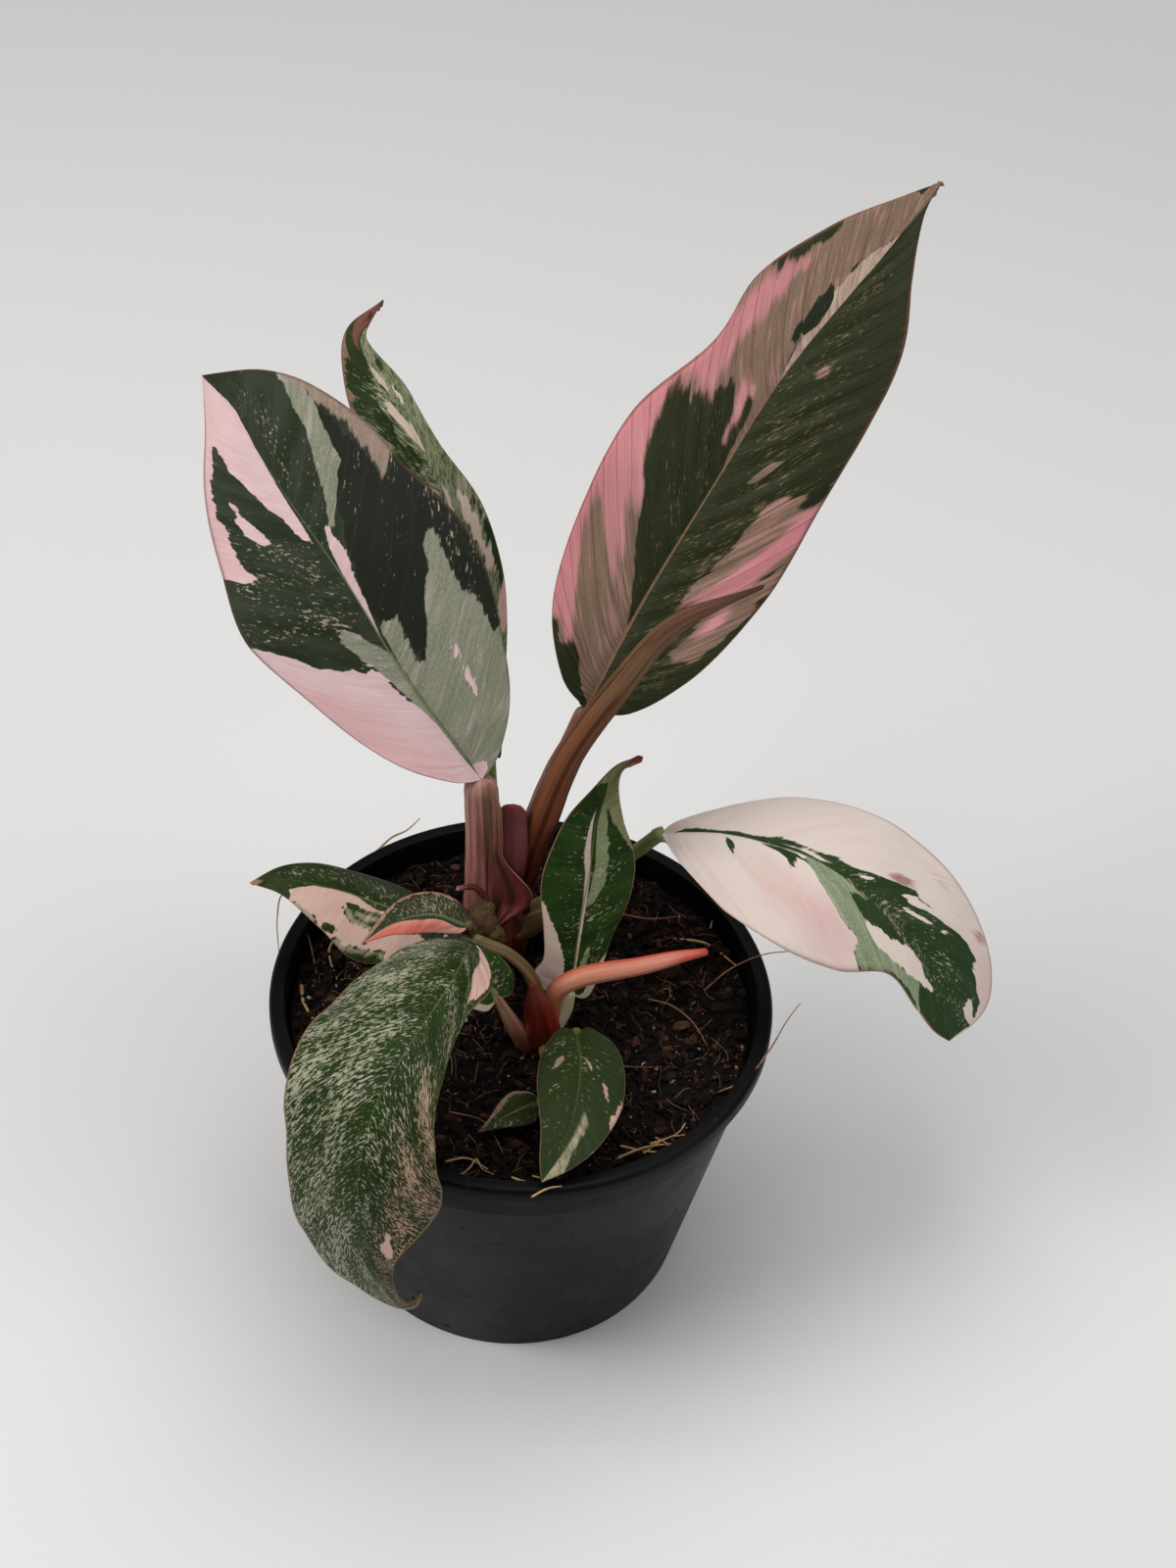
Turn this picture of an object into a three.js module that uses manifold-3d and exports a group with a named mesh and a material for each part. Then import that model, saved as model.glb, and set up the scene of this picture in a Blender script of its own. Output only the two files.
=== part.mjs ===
// A young pink princess philodendron in its nursery pot, in millimetres, +Z up.
// The origin is the middle of the pot's underside, and the big leaves face -Y.
// Two rooted plants share the pot: the rear one carries the tall leaves, the front one the low leaves.

import * as THREE from "three";
import { mergeVertices } from "three/addons/utils/BufferGeometryUtils.js";
import Module from "manifold-3d";

const wasm = await Module();
wasm.setup();

// ---- Driving dimensions ----

const potHeight = 84;
const potRimRadius = 60;
const potBaseRadius = 43.5;
const potWall = 1.3;
const potSides = 36;
const lipHeight = 4.5; // the rolled lip round the mouth
const collarHeight = 14; // the wider band under the lip
const soilDepth = 7; // from the lip down to the soil
const seatGap = 0.35; // between pieces that touch
const bladeThickness = 0.8;
const soilTop = potHeight - soilDepth;

// ---- Solids ----

function solidOf(geometry) {
  const bare = geometry.clone();
  bare.deleteAttribute("normal");
  bare.deleteAttribute("uv");
  const merged = mergeVertices(bare, 1e-4);
  return new wasm.Manifold(
    new wasm.Mesh({
      numProp: 3,
      vertProperties: merged.attributes.position.array,
      triVerts: new Uint32Array(merged.index.array),
    }),
  );
}

function geometryOf(solid) {
  const mesh = solid.getMesh();
  const geometry = new THREE.BufferGeometry();
  geometry.setAttribute("position", new THREE.BufferAttribute(mesh.vertProperties, 3));
  geometry.setIndex(new THREE.BufferAttribute(mesh.triVerts, 1));
  return geometry;
}

const fuse = (solids) => solids.reduce((whole, piece) => whole.add(piece));
const cutAll = (solid, tools) => tools.reduce((left, tool) => left.subtract(tool), solid);

// The largest connected piece, for a cut that leaves a loose scrap.
function mainBody(solid) {
  const bodies = solid.decompose();
  return bodies.reduce((best, body) => (body.volume() > best.volume() ? body : best));
}

// A repeatable random number from 0 to 1.
function randomFrom(seed) {
  let state = seed;
  return () => {
    state = (state * 1664525 + 1013904223) % 4294967296;
    return state / 4294967296;
  };
}

// A closed skin over rings of the same number of points, with a flat cap on each end.
function loft(rings) {
  const sides = rings[0].length;
  const points = rings.flat();
  const faces = [];
  for (let ring = 0; ring + 1 < rings.length; ring++) {
    for (let side = 0; side < sides; side++) {
      const next = (side + 1) % sides;
      const a = ring * sides + side;
      const b = ring * sides + next;
      faces.push([a, b, b + sides], [a, b + sides, a + sides]);
    }
  }
  for (const [ring, forward] of [[0, false], [rings.length - 1, true]]) {
    const middle = rings[ring]
      .reduce((sum, point) => sum.add(point), new THREE.Vector3())
      .divideScalar(sides);
    points.push(middle);
    for (let side = 0; side < sides; side++) {
      const a = ring * sides + side;
      const b = ring * sides + ((side + 1) % sides);
      faces.push(forward ? [a, b, points.length - 1] : [b, a, points.length - 1]);
    }
  }
  const geometry = new THREE.BufferGeometry().setFromPoints(points);
  geometry.setIndex(faces.flat());
  return solidOf(geometry);
}

const splineOf = (list) => new THREE.CatmullRomCurve3(list.map((point) => new THREE.Vector3(...point)));
const lerp = THREE.MathUtils.lerp;
const radians = THREE.MathUtils.degToRad;

// The value at share 0..1 of a list of evenly spaced values.
function valueAt(list, share) {
  const place = THREE.MathUtils.clamp(share, 0, 1) * (list.length - 1);
  const low = Math.min(Math.floor(place), list.length - 2);
  return lerp(list[low], list[low + 1], place - low);
}

// A stalk swept along a spline. radii runs from its foot to its end, flat squeezes it front to back,
// roll opens a seam along it as on a rolled leaf, and grow makes it larger all round.
function stalk({ path, radii, flat = 1, roll = 0, sides = 8, steps = 8 }, grow = 0) {
  const curve = splineOf(path);
  const rings = [];
  for (let step = 0; step <= steps; step++) {
    const share = step / steps;
    const along = curve.getTangentAt(share);
    const centre = curve.getPointAt(share);
    if (step === 0) centre.addScaledVector(along, -grow);
    if (step === steps) centre.addScaledVector(along, grow);
    const front = new THREE.Vector3(0, -1, 0).projectOnPlane(along).normalize();
    const side = new THREE.Vector3().crossVectors(along, front);
    const radius = valueAt(radii, share);
    const ring = [];
    for (let corner = 0; corner < sides; corner++) {
      const turn = (-corner / sides) * 2 * Math.PI;
      const reach = radius * (1 + roll * (corner / sides - 0.5));
      const point = centre.clone().addScaledVector(side, (reach + grow) * Math.cos(turn));
      ring.push(point.addScaledVector(front, (reach * flat + grow) * Math.sin(turn)));
    }
    rings.push(ring);
  }
  return loft(rings);
}

// ---- Leaf blades ----

// Where a vein leaves the midrib, as a share of the length: the first ones fan out of the base.
function veinRoot(vein) {
  const fan = 0.3;
  const rise = 0.05;
  return vein < fan ? (rise * vein) / fan : rise + (1 - rise) * ((vein - fan) / (1 - fan)) ** 1.15;
}

// The bent sheet that a blade lies on: a point from mm along the midrib and mm out from it, right positive.
function leafSheet(leaf) {
  const rib = splineOf(leaf.rib);
  const length = rib.getLength();
  const widthOf = (side) => Math.max(...side.margin.map(([, out]) => out));
  const widths = { left: widthOf(leaf.left), right: widthOf(leaf.right) };
  const faceAxis = (axis, place) => valueAt(leaf.face.map((facing) => facing[axis]), place);
  const facingAt = (place) => new THREE.Vector3(faceAxis(0, place), faceAxis(1, place), faceAxis(2, place));
  const sheet = (along, out) => {
    const side = out < 0 ? leaf.left : leaf.right;
    const width = out < 0 ? widths.left : widths.right;
    const place = THREE.MathUtils.clamp(along / length, 0, 1);
    const reach = Math.abs(out);
    const tangent = rib.getTangentAt(place);
    const centre = rib.getPointAt(place).addScaledVector(tangent, along - place * length);
    const normal = facingAt(place).projectOnPlane(tangent).normalize();
    const right = new THREE.Vector3().crossVectors(tangent, normal);
    const lift = radians(valueAt(side.lift, place));
    const bend = radians(valueAt(side.bend, place)) || 1e-4;
    const turn = lift + (bend * reach) / width;
    const radius = width / bend;
    const sideways = radius * (Math.sin(turn) - Math.sin(lift));
    const [height, count, phase] = side.wave ?? [0, 1, 0];
    const wave = height * (reach / width) ** 2 * Math.sin(2 * Math.PI * (count * place + phase));
    const raise = radius * (Math.cos(lift) - Math.cos(turn)) + wave;
    return centre.addScaledVector(right, out < 0 ? -sideways : sideways).addScaledVector(normal, raise);
  };
  return { sheet, length };
}

// Returns the point of a blade on a vein (0 base .. 1 tip), at a share (-1 left margin .. 1 right margin).
function bladeSurface(leaf) {
  const { sheet, length } = leafSheet(leaf);
  const ends = { base: new THREE.Vector2(0, 0), tip: new THREE.Vector2(length, 0) };
  const marginOf = (side) => {
    const between = side.margin.map(([along, out]) => new THREE.Vector2(along, out));
    return new THREE.SplineCurve([ends.base, ...between, ends.tip]);
  };
  const margins = { left: marginOf(leaf.left), right: marginOf(leaf.right) };
  return (vein, share) => {
    const edge = (share < 0 ? margins.left : margins.right).getPoint(vein);
    const root = veinRoot(vein) * length;
    const along = root + (edge.x - root) * Math.abs(share) ** 1.25;
    return sheet(along, edge.y * share);
  };
}

// A blade: the same grid of triangles on both faces, closed along its margins, with the midrib under it.
function blade(leaf, grow = 0) {
  const { rows, halfColumns } = leaf.grid;
  const at = bladeSurface(leaf);
  const columns = 2 * halfColumns;
  const index = (row, column) => {
    if (row === 0) return 0;
    if (row === rows) return 1;
    return 2 + (row - 1) * (columns + 1) + column;
  };
  const widen = 1 + grow / 4;
  const middle = [at(0, 0), at(1, 0)];
  for (let row = 1; row < rows; row++) {
    for (let column = 0; column <= columns; column++) {
      middle.push(at(row / rows, widen * (column / halfColumns - 1)));
    }
  }
  const upper = [];
  for (let row = 0; row < rows; row++) {
    for (let column = 0; column < columns; column++) {
      const near = [index(row, column), index(row, column + 1)];
      const far = [index(row + 1, column), index(row + 1, column + 1)];
      if (near[0] !== near[1]) upper.push([near[0], near[1], far[1]]);
      if (far[0] !== far[1]) upper.push([near[0], far[1], far[0]]);
    }
  }
  const normals = middle.map(() => new THREE.Vector3());
  for (const [a, b, c] of upper) {
    const one = middle[b].clone().sub(middle[a]);
    const other = middle[c].clone().sub(middle[a]);
    const facing = one.cross(other);
    for (const corner of [a, b, c]) normals[corner].add(facing);
  }
  const half = bladeThickness / 2 + grow;
  const count = middle.length;
  const shifted = (point, i, offset) => point.clone().addScaledVector(normals[i].normalize(), offset);
  const faceAt = (offset) => middle.map((point, i) => shifted(point, i, offset));
  const faces = upper.flatMap(([a, b, c]) => [[a, b, c], [a + count, c + count, b + count]]);
  for (let row = 0; row < rows; row++) {
    const [leftNear, leftFar] = [index(row, 0), index(row + 1, 0)];
    const [rightNear, rightFar] = [index(row, columns), index(row + 1, columns)];
    faces.push([leftNear, leftFar, leftFar + count], [leftNear, leftFar + count, leftNear + count]);
    faces.push([rightNear, rightFar + count, rightFar], [rightNear, rightNear + count, rightFar + count]);
  }
  const geometry = new THREE.BufferGeometry().setFromPoints([...faceAt(half), ...faceAt(-half)]);
  geometry.setIndex(faces.flat());
  const whole = solidOf(geometry).add(midrib(leaf, grow));
  if (!grow) return whole;
  const base = new THREE.IcosahedronGeometry(1.5 * leaf.ribRadius + 0.4 + grow, 1);
  base.translate(...at(0, 0).toArray());
  return whole.add(solidOf(base));
}

// The midrib stands proud of the underside and thins out before the tip.
function midrib(leaf, grow) {
  const { sheet, length } = leafSheet(leaf);
  const steps = leaf.grid.rows / 2;
  const path = [];
  for (let step = 0; step <= steps; step++) {
    const along = lerp(-0.5, 0.8 * length, step / steps);
    const point = sheet(along, 0);
    const down = sheet(along, -0.5).sub(point).cross(sheet(along + 1, 0).sub(point)).normalize();
    path.push(point.addScaledVector(down, valueAt(midribFall, step / steps) * leaf.ribRadius).toArray());
  }
  const radii = midribTaper.map((share) => share * leaf.ribRadius);
  return stalk({ path, radii, sides: 6, steps }, grow);
}

// ---- The leaves ----
// rib: the midrib from the stalk to the tip. face: where the upper side looks, from base to tip.
// margin: points of each half's edge, in mm along the midrib and out from it.
// lift: degrees that a half rises from the midrib, and bend: degrees that it turns on the way out.
// wave: height in mm, count and phase of the ruffle along the margin.

const bigGrid = { rows: 18, halfColumns: 4 };
const smallGrid = { rows: 10, halfColumns: 3 };
const midribTaper = [1, 0.85, 0.6, 0.4];
const midribFall = [0.7, 0.7, 0.5, 0.3];

const leaves = {
  leaf_left: {
    rib: [
      [-12, 15, 136.8], [-29, 24, 155.4], [-44, 35.5, 173.3],
      [-59.2, 49, 186.4], [-73.5, 64, 198.2], [-82.4, 76, 199.8],
    ],
    face: [[0.1, -0.75, 0.65], [0.1, -0.75, 0.65], [-0.1, -0.8, 0.6]],
    left: {
      margin: [[4, 5.8], [16, 13.8], [33, 20.3], [54, 26.2], [72, 21.5], [88, 15], [106, 4.8]],
      lift: [18, 14, 8],
      bend: [-18, -24, -20],
      wave: [0.6, 2.5, 0.1],
    },
    right: {
      margin: [
        [3, 7.5], [14, 18.4], [32, 26], [50, 29.3], [68, 26], [82, 24.4], [97, 17.5], [108, 7],
      ],
      lift: [18, 14, 6],
      bend: [-18, -26, -34],
      wave: [0.6, 2, 0.5],
    },
    ribRadius: 1.7,
    grid: bigGrid,
  },
  leaf_back: {
    rib: [
      [-11.7, 38, 125.6], [-18, 52, 154], [-26, 66, 177],
      [-38.2, 80, 194], [-48.6, 90, 204.3], [-43, 96, 211],
    ],
    face: [[0.2, -0.8, 0.6], [-0.1, -0.8, 0.55], [-0.5, -0.7, 0.4]],
    left: {
      margin: [[-2, 6], [14, 14], [35, 17], [56, 17], [76, 13], [92.5, 10], [104, 3]],
      lift: [15, 15, 10],
      bend: [-10, -10, -10],
    },
    right: {
      margin: [[-2, 4], [10, 7], [24, 10], [40, 11], [56, 9.6], [72, 4.8], [90, 3.7], [104, 2.4]],
      lift: [-10, -30, -30],
      bend: [-10, -10, -10],
      wave: [0.8, 3, 0],
    },
    ribRadius: 1.5,
    grid: bigGrid,
  },
  leaf_tall: {
    rib: [
      [10.6, 20, 156], [21, 31, 177.2], [34.5, 44, 200.4],
      [48.3, 59, 221], [65.6, 77, 237.6], [80.6, 96, 250],
    ],
    face: [[0.1, -0.75, 0.65], [0.1, -0.75, 0.65], [0.1, -0.75, 0.65]],
    left: {
      margin: [
        [4, 8], [18, 17.8], [40, 22.8], [62, 23.6], [82, 16.8], [97, 18], [115, 13.3], [132, 5.2],
      ],
      lift: [18, 14, 10],
      bend: [-18, -22, -20],
      wave: [1.2, 3, 0.3],
    },
    right: {
      margin: [
        [4, 9.4], [19, 18.4], [42, 23.2], [63, 22.5], [87, 21.6], [104, 17.8], [119, 8.6], [132, 2],
      ],
      lift: [18, 14, 10],
      bend: [-18, -22, -20],
      wave: [1, 2.5, 0],
    },
    ribRadius: 1.8,
    grid: bigGrid,
  },
  leaf_pale: {
    rib: [[30.4, 24, 115.6], [49, 17, 122], [70, 9, 122], [87, 2, 112], [97.6, -4, 98], [101, -9, 86]],
    face: [[-0.1, -0.3, 0.95], [0.1, -0.4, 0.9], [0.5, -0.6, 0.5]],
    left: {
      margin: [[4, 3], [17, 8.5], [34, 16], [54, 20.4], [74, 20], [87, 17.4], [94.5, 12]],
      lift: [10, 0, 0],
      bend: [-16, -20, -20],
    },
    right: {
      margin: [[7, 8], [21, 17.5], [41, 22], [60, 18.5], [71, 10], [84, 8], [91.5, 5]],
      lift: [-10, -10, 0],
      bend: [-20, -20, -20],
    },
    ribRadius: 1.5,
    grid: bigGrid,
  },
  leaf_speckled: {
    rib: [
      [-11.4, -9, 109], [-15, -30, 116], [-23, -50, 115], [-28.3, -62, 109],
      [-30.4, -68.5, 97], [-29.5, -71, 79], [-25, -70, 59], [-20, -67.5, 50], [-17, -66, 52.5],
    ],
    face: [[-0.2, -0.1, 0.95], [-0.3, -0.3, 0.9], [-0.25, -0.7, 0.6], [-0.2, -1, 0.1], [-0.1, -1, 0]],
    left: {
      margin: [
        [4, 4.5], [16, 8.5], [28, 7], [42, 9.5], [60, 14.5], [80, 18.5], [91, 16], [100, 8], [113, 4],
      ],
      lift: [-30, -20, -10],
      bend: [-20, -20, -20],
      wave: [1, 3.5, 0.2],
    },
    right: {
      margin: [
        [2, 5], [10, 12], [23, 20], [39, 23.5], [57, 21.5], [77, 18.5], [97, 16.8], [112, 12], [122, 5.5],
      ],
      lift: [24, 10, -4, -10],
      bend: [-20, -24, -26, -26],
      wave: [1, 3, 0],
    },
    ribRadius: 1.6,
    grid: bigGrid,
  },
  leaf_side: {
    rib: [[-19, 7.6, 94.5], [-32, 8, 100], [-46, 10, 103], [-58, 13, 102], [-67, 15, 98]],
    face: [[0, -0.3, 0.95], [0, -0.3, 0.95], [0, -0.3, 0.95]],
    left: {
      margin: [[-1, 5], [8, 12], [19, 14.4], [29, 10], [40, 4.4]],
      lift: [-10, -10, 0],
      bend: [-20, -20, 0],
      wave: [0.8, 2, 0],
    },
    right: {
      margin: [[-1, 5], [8, 10], [20, 11.3], [32, 9.4], [43, 4.6]],
      lift: [-25, -25, -10],
      bend: [-20, -20, 0],
    },
    ribRadius: 1,
    grid: smallGrid,
  },
  leaf_inner: {
    rib: [
      [11.5, -1, 84.5], [12.5, 5, 100], [14, 10, 115],
      [15, 15, 128], [19, 20, 138], [24, 21, 141.5],
    ],
    face: [[0.1, -0.8, 0.5], [0.1, -0.8, 0.5], [0.1, -0.8, 0.5]],
    left: {
      margin: [[-1, 4], [4, 9.4], [9, 7.6], [16, 8.4], [29, 11], [41, 8.8], [54, 2.6]],
      lift: [10, 14, 14],
      bend: [-20, -20, 0],
    },
    right: {
      margin: [[0, 4.3], [8, 6.6], [16, 7.8], [26, 10.2], [36, 10.2], [45, 7], [57, 1.2]],
      lift: [10, 14, 14],
      bend: [-20, -20, 0],
    },
    ribRadius: 1,
    grid: smallGrid,
  },
  leaf_young: {
    rib: [[-12.5, -9, 113.5], [-21, -10, 117.5], [-29, -14, 118], [-35.5, -18, 115]],
    face: [[0, -0.5, 0.9], [0, -0.5, 0.9], [0, -0.5, 0.9]],
    left: {
      margin: [[2, 2.5], [8, 4.2], [15, 4], [21, 2]],
      lift: [-10, -10, -10],
      bend: [-20, -20, 0],
    },
    right: {
      margin: [[1, 3.5], [6, 6], [13, 6], [20, 3]],
      lift: [-10, -10, -10],
      bend: [-20, -20, 0],
    },
    ribRadius: 0.9,
    grid: smallGrid,
  },
  leaf_low: {
    rib: [[-5.5, -10, 91], [-9, -6.5, 93], [-14, -1.5, 94], [-18, 3, 92]],
    face: [[0, -0.4, 0.9], [0, -0.4, 0.9], [0, -0.4, 0.9]],
    left: {
      margin: [[-1, 4], [4, 7], [10, 6.5], [15, 3]],
      lift: [0, 0, 0],
      bend: [-20, -20, 0],
    },
    right: {
      margin: [[-1, 4], [4, 7], [10, 6.5], [15, 3]],
      lift: [0, 0, 0],
      bend: [-20, -20, 0],
    },
    ribRadius: 0.9,
    grid: smallGrid,
  },
  leaf_front: {
    rib: [[13.6, -17, 89], [15, -31, 92], [13.4, -47, 91], [8.2, -58.5, 86.5]],
    face: [[0.1, -0.2, 1], [0.1, -0.3, 1], [0.1, -0.5, 0.9]],
    left: {
      margin: [[-1, 3.5], [4.5, 8.2], [13, 10.3], [22, 10.4], [31, 7.8], [39, 3.8]],
      lift: [8, 5, 5],
      bend: [-20, -20, 0],
    },
    right: {
      margin: [[0, 4], [6, 7.8], [14, 9.6], [22, 9.2], [31, 6.8], [39, 3.4]],
      lift: [8, 5, 5],
      bend: [-20, -20, 0],
    },
    ribRadius: 1,
    grid: smallGrid,
  },
  leaf_ground: {
    rib: [[6, -31, 80.4], [1.5, -35.2, 81.8], [-3, -38.8, 81.8], [-7, -41, 79.8]],
    face: [[0, -0.3, 1], [0, -0.3, 1], [0, -0.3, 1]],
    left: {
      margin: [[1, 2.5], [5, 4.4], [9, 3.6], [13, 1.6]],
      lift: [10, 10, 0],
      bend: [-10, -10, 0],
    },
    right: {
      margin: [[1, 2.5], [5, 4.4], [9, 3.6], [13, 1.6]],
      lift: [10, 10, 0],
      bend: [-10, -10, 0],
    },
    ribRadius: 0.8,
    grid: smallGrid,
  },
};

// ---- Stems, leaf stalks and sheaths ----
// Each list is in growing order: a later stalk sheathes the earlier ones of its plant with a small gap.

const rearCrown = {
  stem_rear: {
    path: [[-6, 20, 52], [-6.5, 20, 66], [-7, 20, 76], [-7.5, 20, 84]],
    radii: [3.6, 4.6, 5.2, 5, 3.6],
    sides: 12,
    steps: 8,
  },
  leaf_left_petiole: {
    path: [[-9.5, 18, 80], [-10.6, 18, 97], [-11.4, 17, 117], [-12.2, 15.2, 135.8]],
    radii: [6.2, 5.8, 5.2, 4.6, 3.6],
    flat: 0.8,
    sides: 12,
    carries: "leaf_left",
  },
  leaf_tall_petiole: {
    path: [[-3.6, 23, 80], [-2.6, 22.8, 100], [0.8, 22.4, 119], [6, 21.6, 138], [10.2, 19.6, 154.6]],
    radii: [3.4, 2.9, 2.6, 2.4, 2.2],
    carries: "leaf_tall",
  },
  leaf_back_petiole: {
    path: [[-9, 28, 80], [-10.5, 33, 100], [-11.7, 37.4, 124.6]],
    radii: [3.4, 2.6, 2.2],
    carries: "leaf_back",
  },
  leaf_pale_petiole: {
    path: [[-4, 23.5, 80], [3.5, 26, 85], [14, 26, 95.4], [24.5, 25, 107.5], [30, 24.1, 115]],
    radii: [3.6, 3.2, 2.2, 1.8, 1.7],
    carries: "leaf_pale",
  },
  sheath_tall: {
    path: [
      [-3, 18, 82], [-1.6, 18, 100], [2, 17.5, 119], [8, 15, 146],
      [18.2, 12, 170.5], [28.6, 8, 191], [44, 4, 204.5],
    ],
    radii: [5, 5, 4.2, 3.4, 3, 2.2, 0.5],
    roll: 0.3,
    steps: 13,
  },
  sheath_pink: {
    path: [[-4.8, 12, 86], [-4.6, 12, 102], [-4, 12.4, 119], [-4.6, 13.4, 131]],
    radii: [3, 3.5, 3.6, 3, 1.4],
    flat: 0.45,
  },
  leaf_side_petiole: {
    path: [[-12, 14, 80], [-15, 10.5, 87], [-18.6, 7.8, 94]],
    radii: [2.4, 1.7, 1.3],
    carries: "leaf_side",
    steps: 6,
  },
  leaf_young_petiole: {
    path: [[-11, 9, 84], [-12, 3, 98], [-12.4, -4, 108], [-12.6, -8.4, 113.2]],
    radii: [2, 1.4, 1.2, 1.1],
    carries: "leaf_young",
    sides: 8,
    steps: 8,
  },
  aerial_root: {
    path: [[-7.5, 13.5, 84], [-8, 11, 94], [-9.5, 9.6, 103], [-13, 8.6, 108.5], [-17, 8.4, 107.5]],
    radii: [1.1, 1, 0.9, 0.8],
    sides: 8,
  },
};

const frontCrown = {
  stem_front: {
    path: [[5, -9, 54], [5.4, -9, 66], [6, -9, 75], [6.4, -9, 82]],
    radii: [3.2, 4.2, 4.8, 4.2],
    sides: 12,
    steps: 8,
  },
  leaf_speckled_petiole: {
    path: [[4.5, -8.6, 83], [2.5, -7.8, 96], [-3, -7.6, 103.6], [-10.6, -8.8, 108.8]],
    radii: [2.6, 2, 1.7, 1.8],
    carries: "leaf_speckled",
  },
  leaf_inner_petiole: {
    path: [[8.5, -5.5, 79], [10.5, -3, 81], [11.4, -1.4, 84]],
    radii: [2.2, 1.8, 1.3],
    carries: "leaf_inner",
    sides: 8,
    steps: 5,
  },
  new_leaf_spike: {
    path: [
      [7.2, -7.4, 82], [8, -6.2, 90], [13, -5.4, 94.6],
      [28, -3.4, 98.4], [37, -1.6, 100.6], [42.4, 0, 101],
    ],
    radii: [2, 2.3, 2.5, 2.4, 2.2, 0.5],
    roll: 0.24,
    steps: 12,
  },
  sheath_red: {
    path: [[5.6, -10, 78], [5, -10.5, 84], [3.8, -10.6, 91], [2.4, -10, 97]],
    radii: [5, 4.2, 3, 0.8],
    flat: 0.8,
    steps: 8,
  },
  leaf_low_petiole: {
    path: [[1.6, -11.6, 78.5], [-1.4, -12, 84.5], [-5, -10.4, 90.4]],
    radii: [2, 1.5, 1.1],
    carries: "leaf_low",
    sides: 8,
    steps: 6,
  },
  leaf_front_petiole: {
    path: [[9, -12.6, 79], [11.4, -14.6, 83.6], [13.4, -16.6, 88.4]],
    radii: [2, 1.5, 1.2],
    carries: "leaf_front",
    sides: 8,
    steps: 6,
  },
  leaf_ground_petiole: {
    path: [[6.5, -14, 78.6], [7.8, -23, 79], [6.3, -30.4, 80.1]],
    radii: [1.6, 1.2, 0.9],
    carries: "leaf_ground",
    sides: 8,
    steps: 6,
  },
};

// ---- Pot and potting mix ----

function turned(profile, sides) {
  const geometry = new THREE.LatheGeometry(profile.map(([r, z]) => new THREE.Vector2(r, z)), sides);
  geometry.rotateX(Math.PI / 2);
  return solidOf(geometry);
}

const collarFoot = potHeight - collarHeight;
const lipFoot = potHeight - lipHeight;
const bodyRadius = 56; // just under the collar
const collarRadius = bodyRadius + 1.4; // just under the lip
const innerFloor = 3.3;
const hubRadius = 11; // the round foot in the middle of the underside
const ringInside = 39; // the ring that the pot stands on starts here
const archRise = 1.8; // the underside between the two
const holeCount = 8;
const holeRadius = 3.6;
const holeCircle = 26;

function potSolid() {
  const outer = [
    [0, 0],
    [hubRadius, 0],
    [hubRadius + 1.5, archRise],
    [ringInside - 1.5, archRise],
    [ringInside, 0],
    [potBaseRadius - 0.8, 0],
    [potBaseRadius, 0.8],
    [bodyRadius, collarFoot],
    [bodyRadius + 0.9, collarFoot + 1.2],
    [collarRadius, lipFoot],
    [potRimRadius - 0.5, lipFoot],
    [potRimRadius, lipFoot + 0.6],
    [potRimRadius, potHeight - 1.4],
    [potRimRadius - 0.6, potHeight - 0.4],
    [potRimRadius - 1.7, potHeight],
  ];
  const inner = [
    [collarRadius - potWall, potHeight - 1],
    [collarRadius - 0.2 - potWall, lipFoot],
    [bodyRadius - potWall, collarFoot],
    [potBaseRadius - potWall, innerFloor],
    [0, innerFloor],
  ];
  const holes = [];
  for (let hole = 0; hole < holeCount; hole++) {
    const turn = (hole / holeCount) * 2 * Math.PI;
    const tool = new THREE.CylinderGeometry(holeRadius, holeRadius, 3 * innerFloor, 8);
    tool.rotateX(Math.PI / 2);
    tool.translate(holeCircle * Math.cos(turn), holeCircle * Math.sin(turn), innerFloor / 2);
    holes.push(solidOf(tool));
  }
  return cutAll(turned([...outer, ...inner], potSides), holes);
}

const chipCount = 9;
const chipInner = 14; // the chips lie between these two distances from the middle
const chipOuter = 48;
const straws = [
  [[1, -51, soilTop + 0.4], [6, -53, soilTop + 1.4], [12, -50.5, soilTop + 0.4]],
  [[24, -44, soilTop + 0.4], [31, -41.5, soilTop + 2.4], [39, -38.5, soilTop + 0.6]],
  [[25, -40, soilTop + 0.4], [31, -42, soilTop + 1.6], [38, -41, soilTop + 0.4]],
  [[-14, -48, soilTop + 0.3], [-9, -47.5, soilTop + 1.2], [-4, -49.5, soilTop + 0.4]],
  [[36, 26, soilTop + 0.3], [44, 24, soilTop + 1.6], [52, 18, soilTop + 0.4]],
  [[-47, 20, soilTop + 0.2], [-48, 12, soilTop + 1.8], [-45, 4, soilTop + 0.2]],
];

// The height of the loose surface at a place on it.
function soilLevel(x, y) {
  const swell = Math.sin(x * 0.11 + 0.6) * Math.cos(y * 0.13 - 0.4);
  const lumps = Math.sin(x * 0.42 + y * 0.23) * Math.sin(y * 0.37 - x * 0.19);
  return soilTop + 0.7 * swell + 0.6 * lumps;
}

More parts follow.
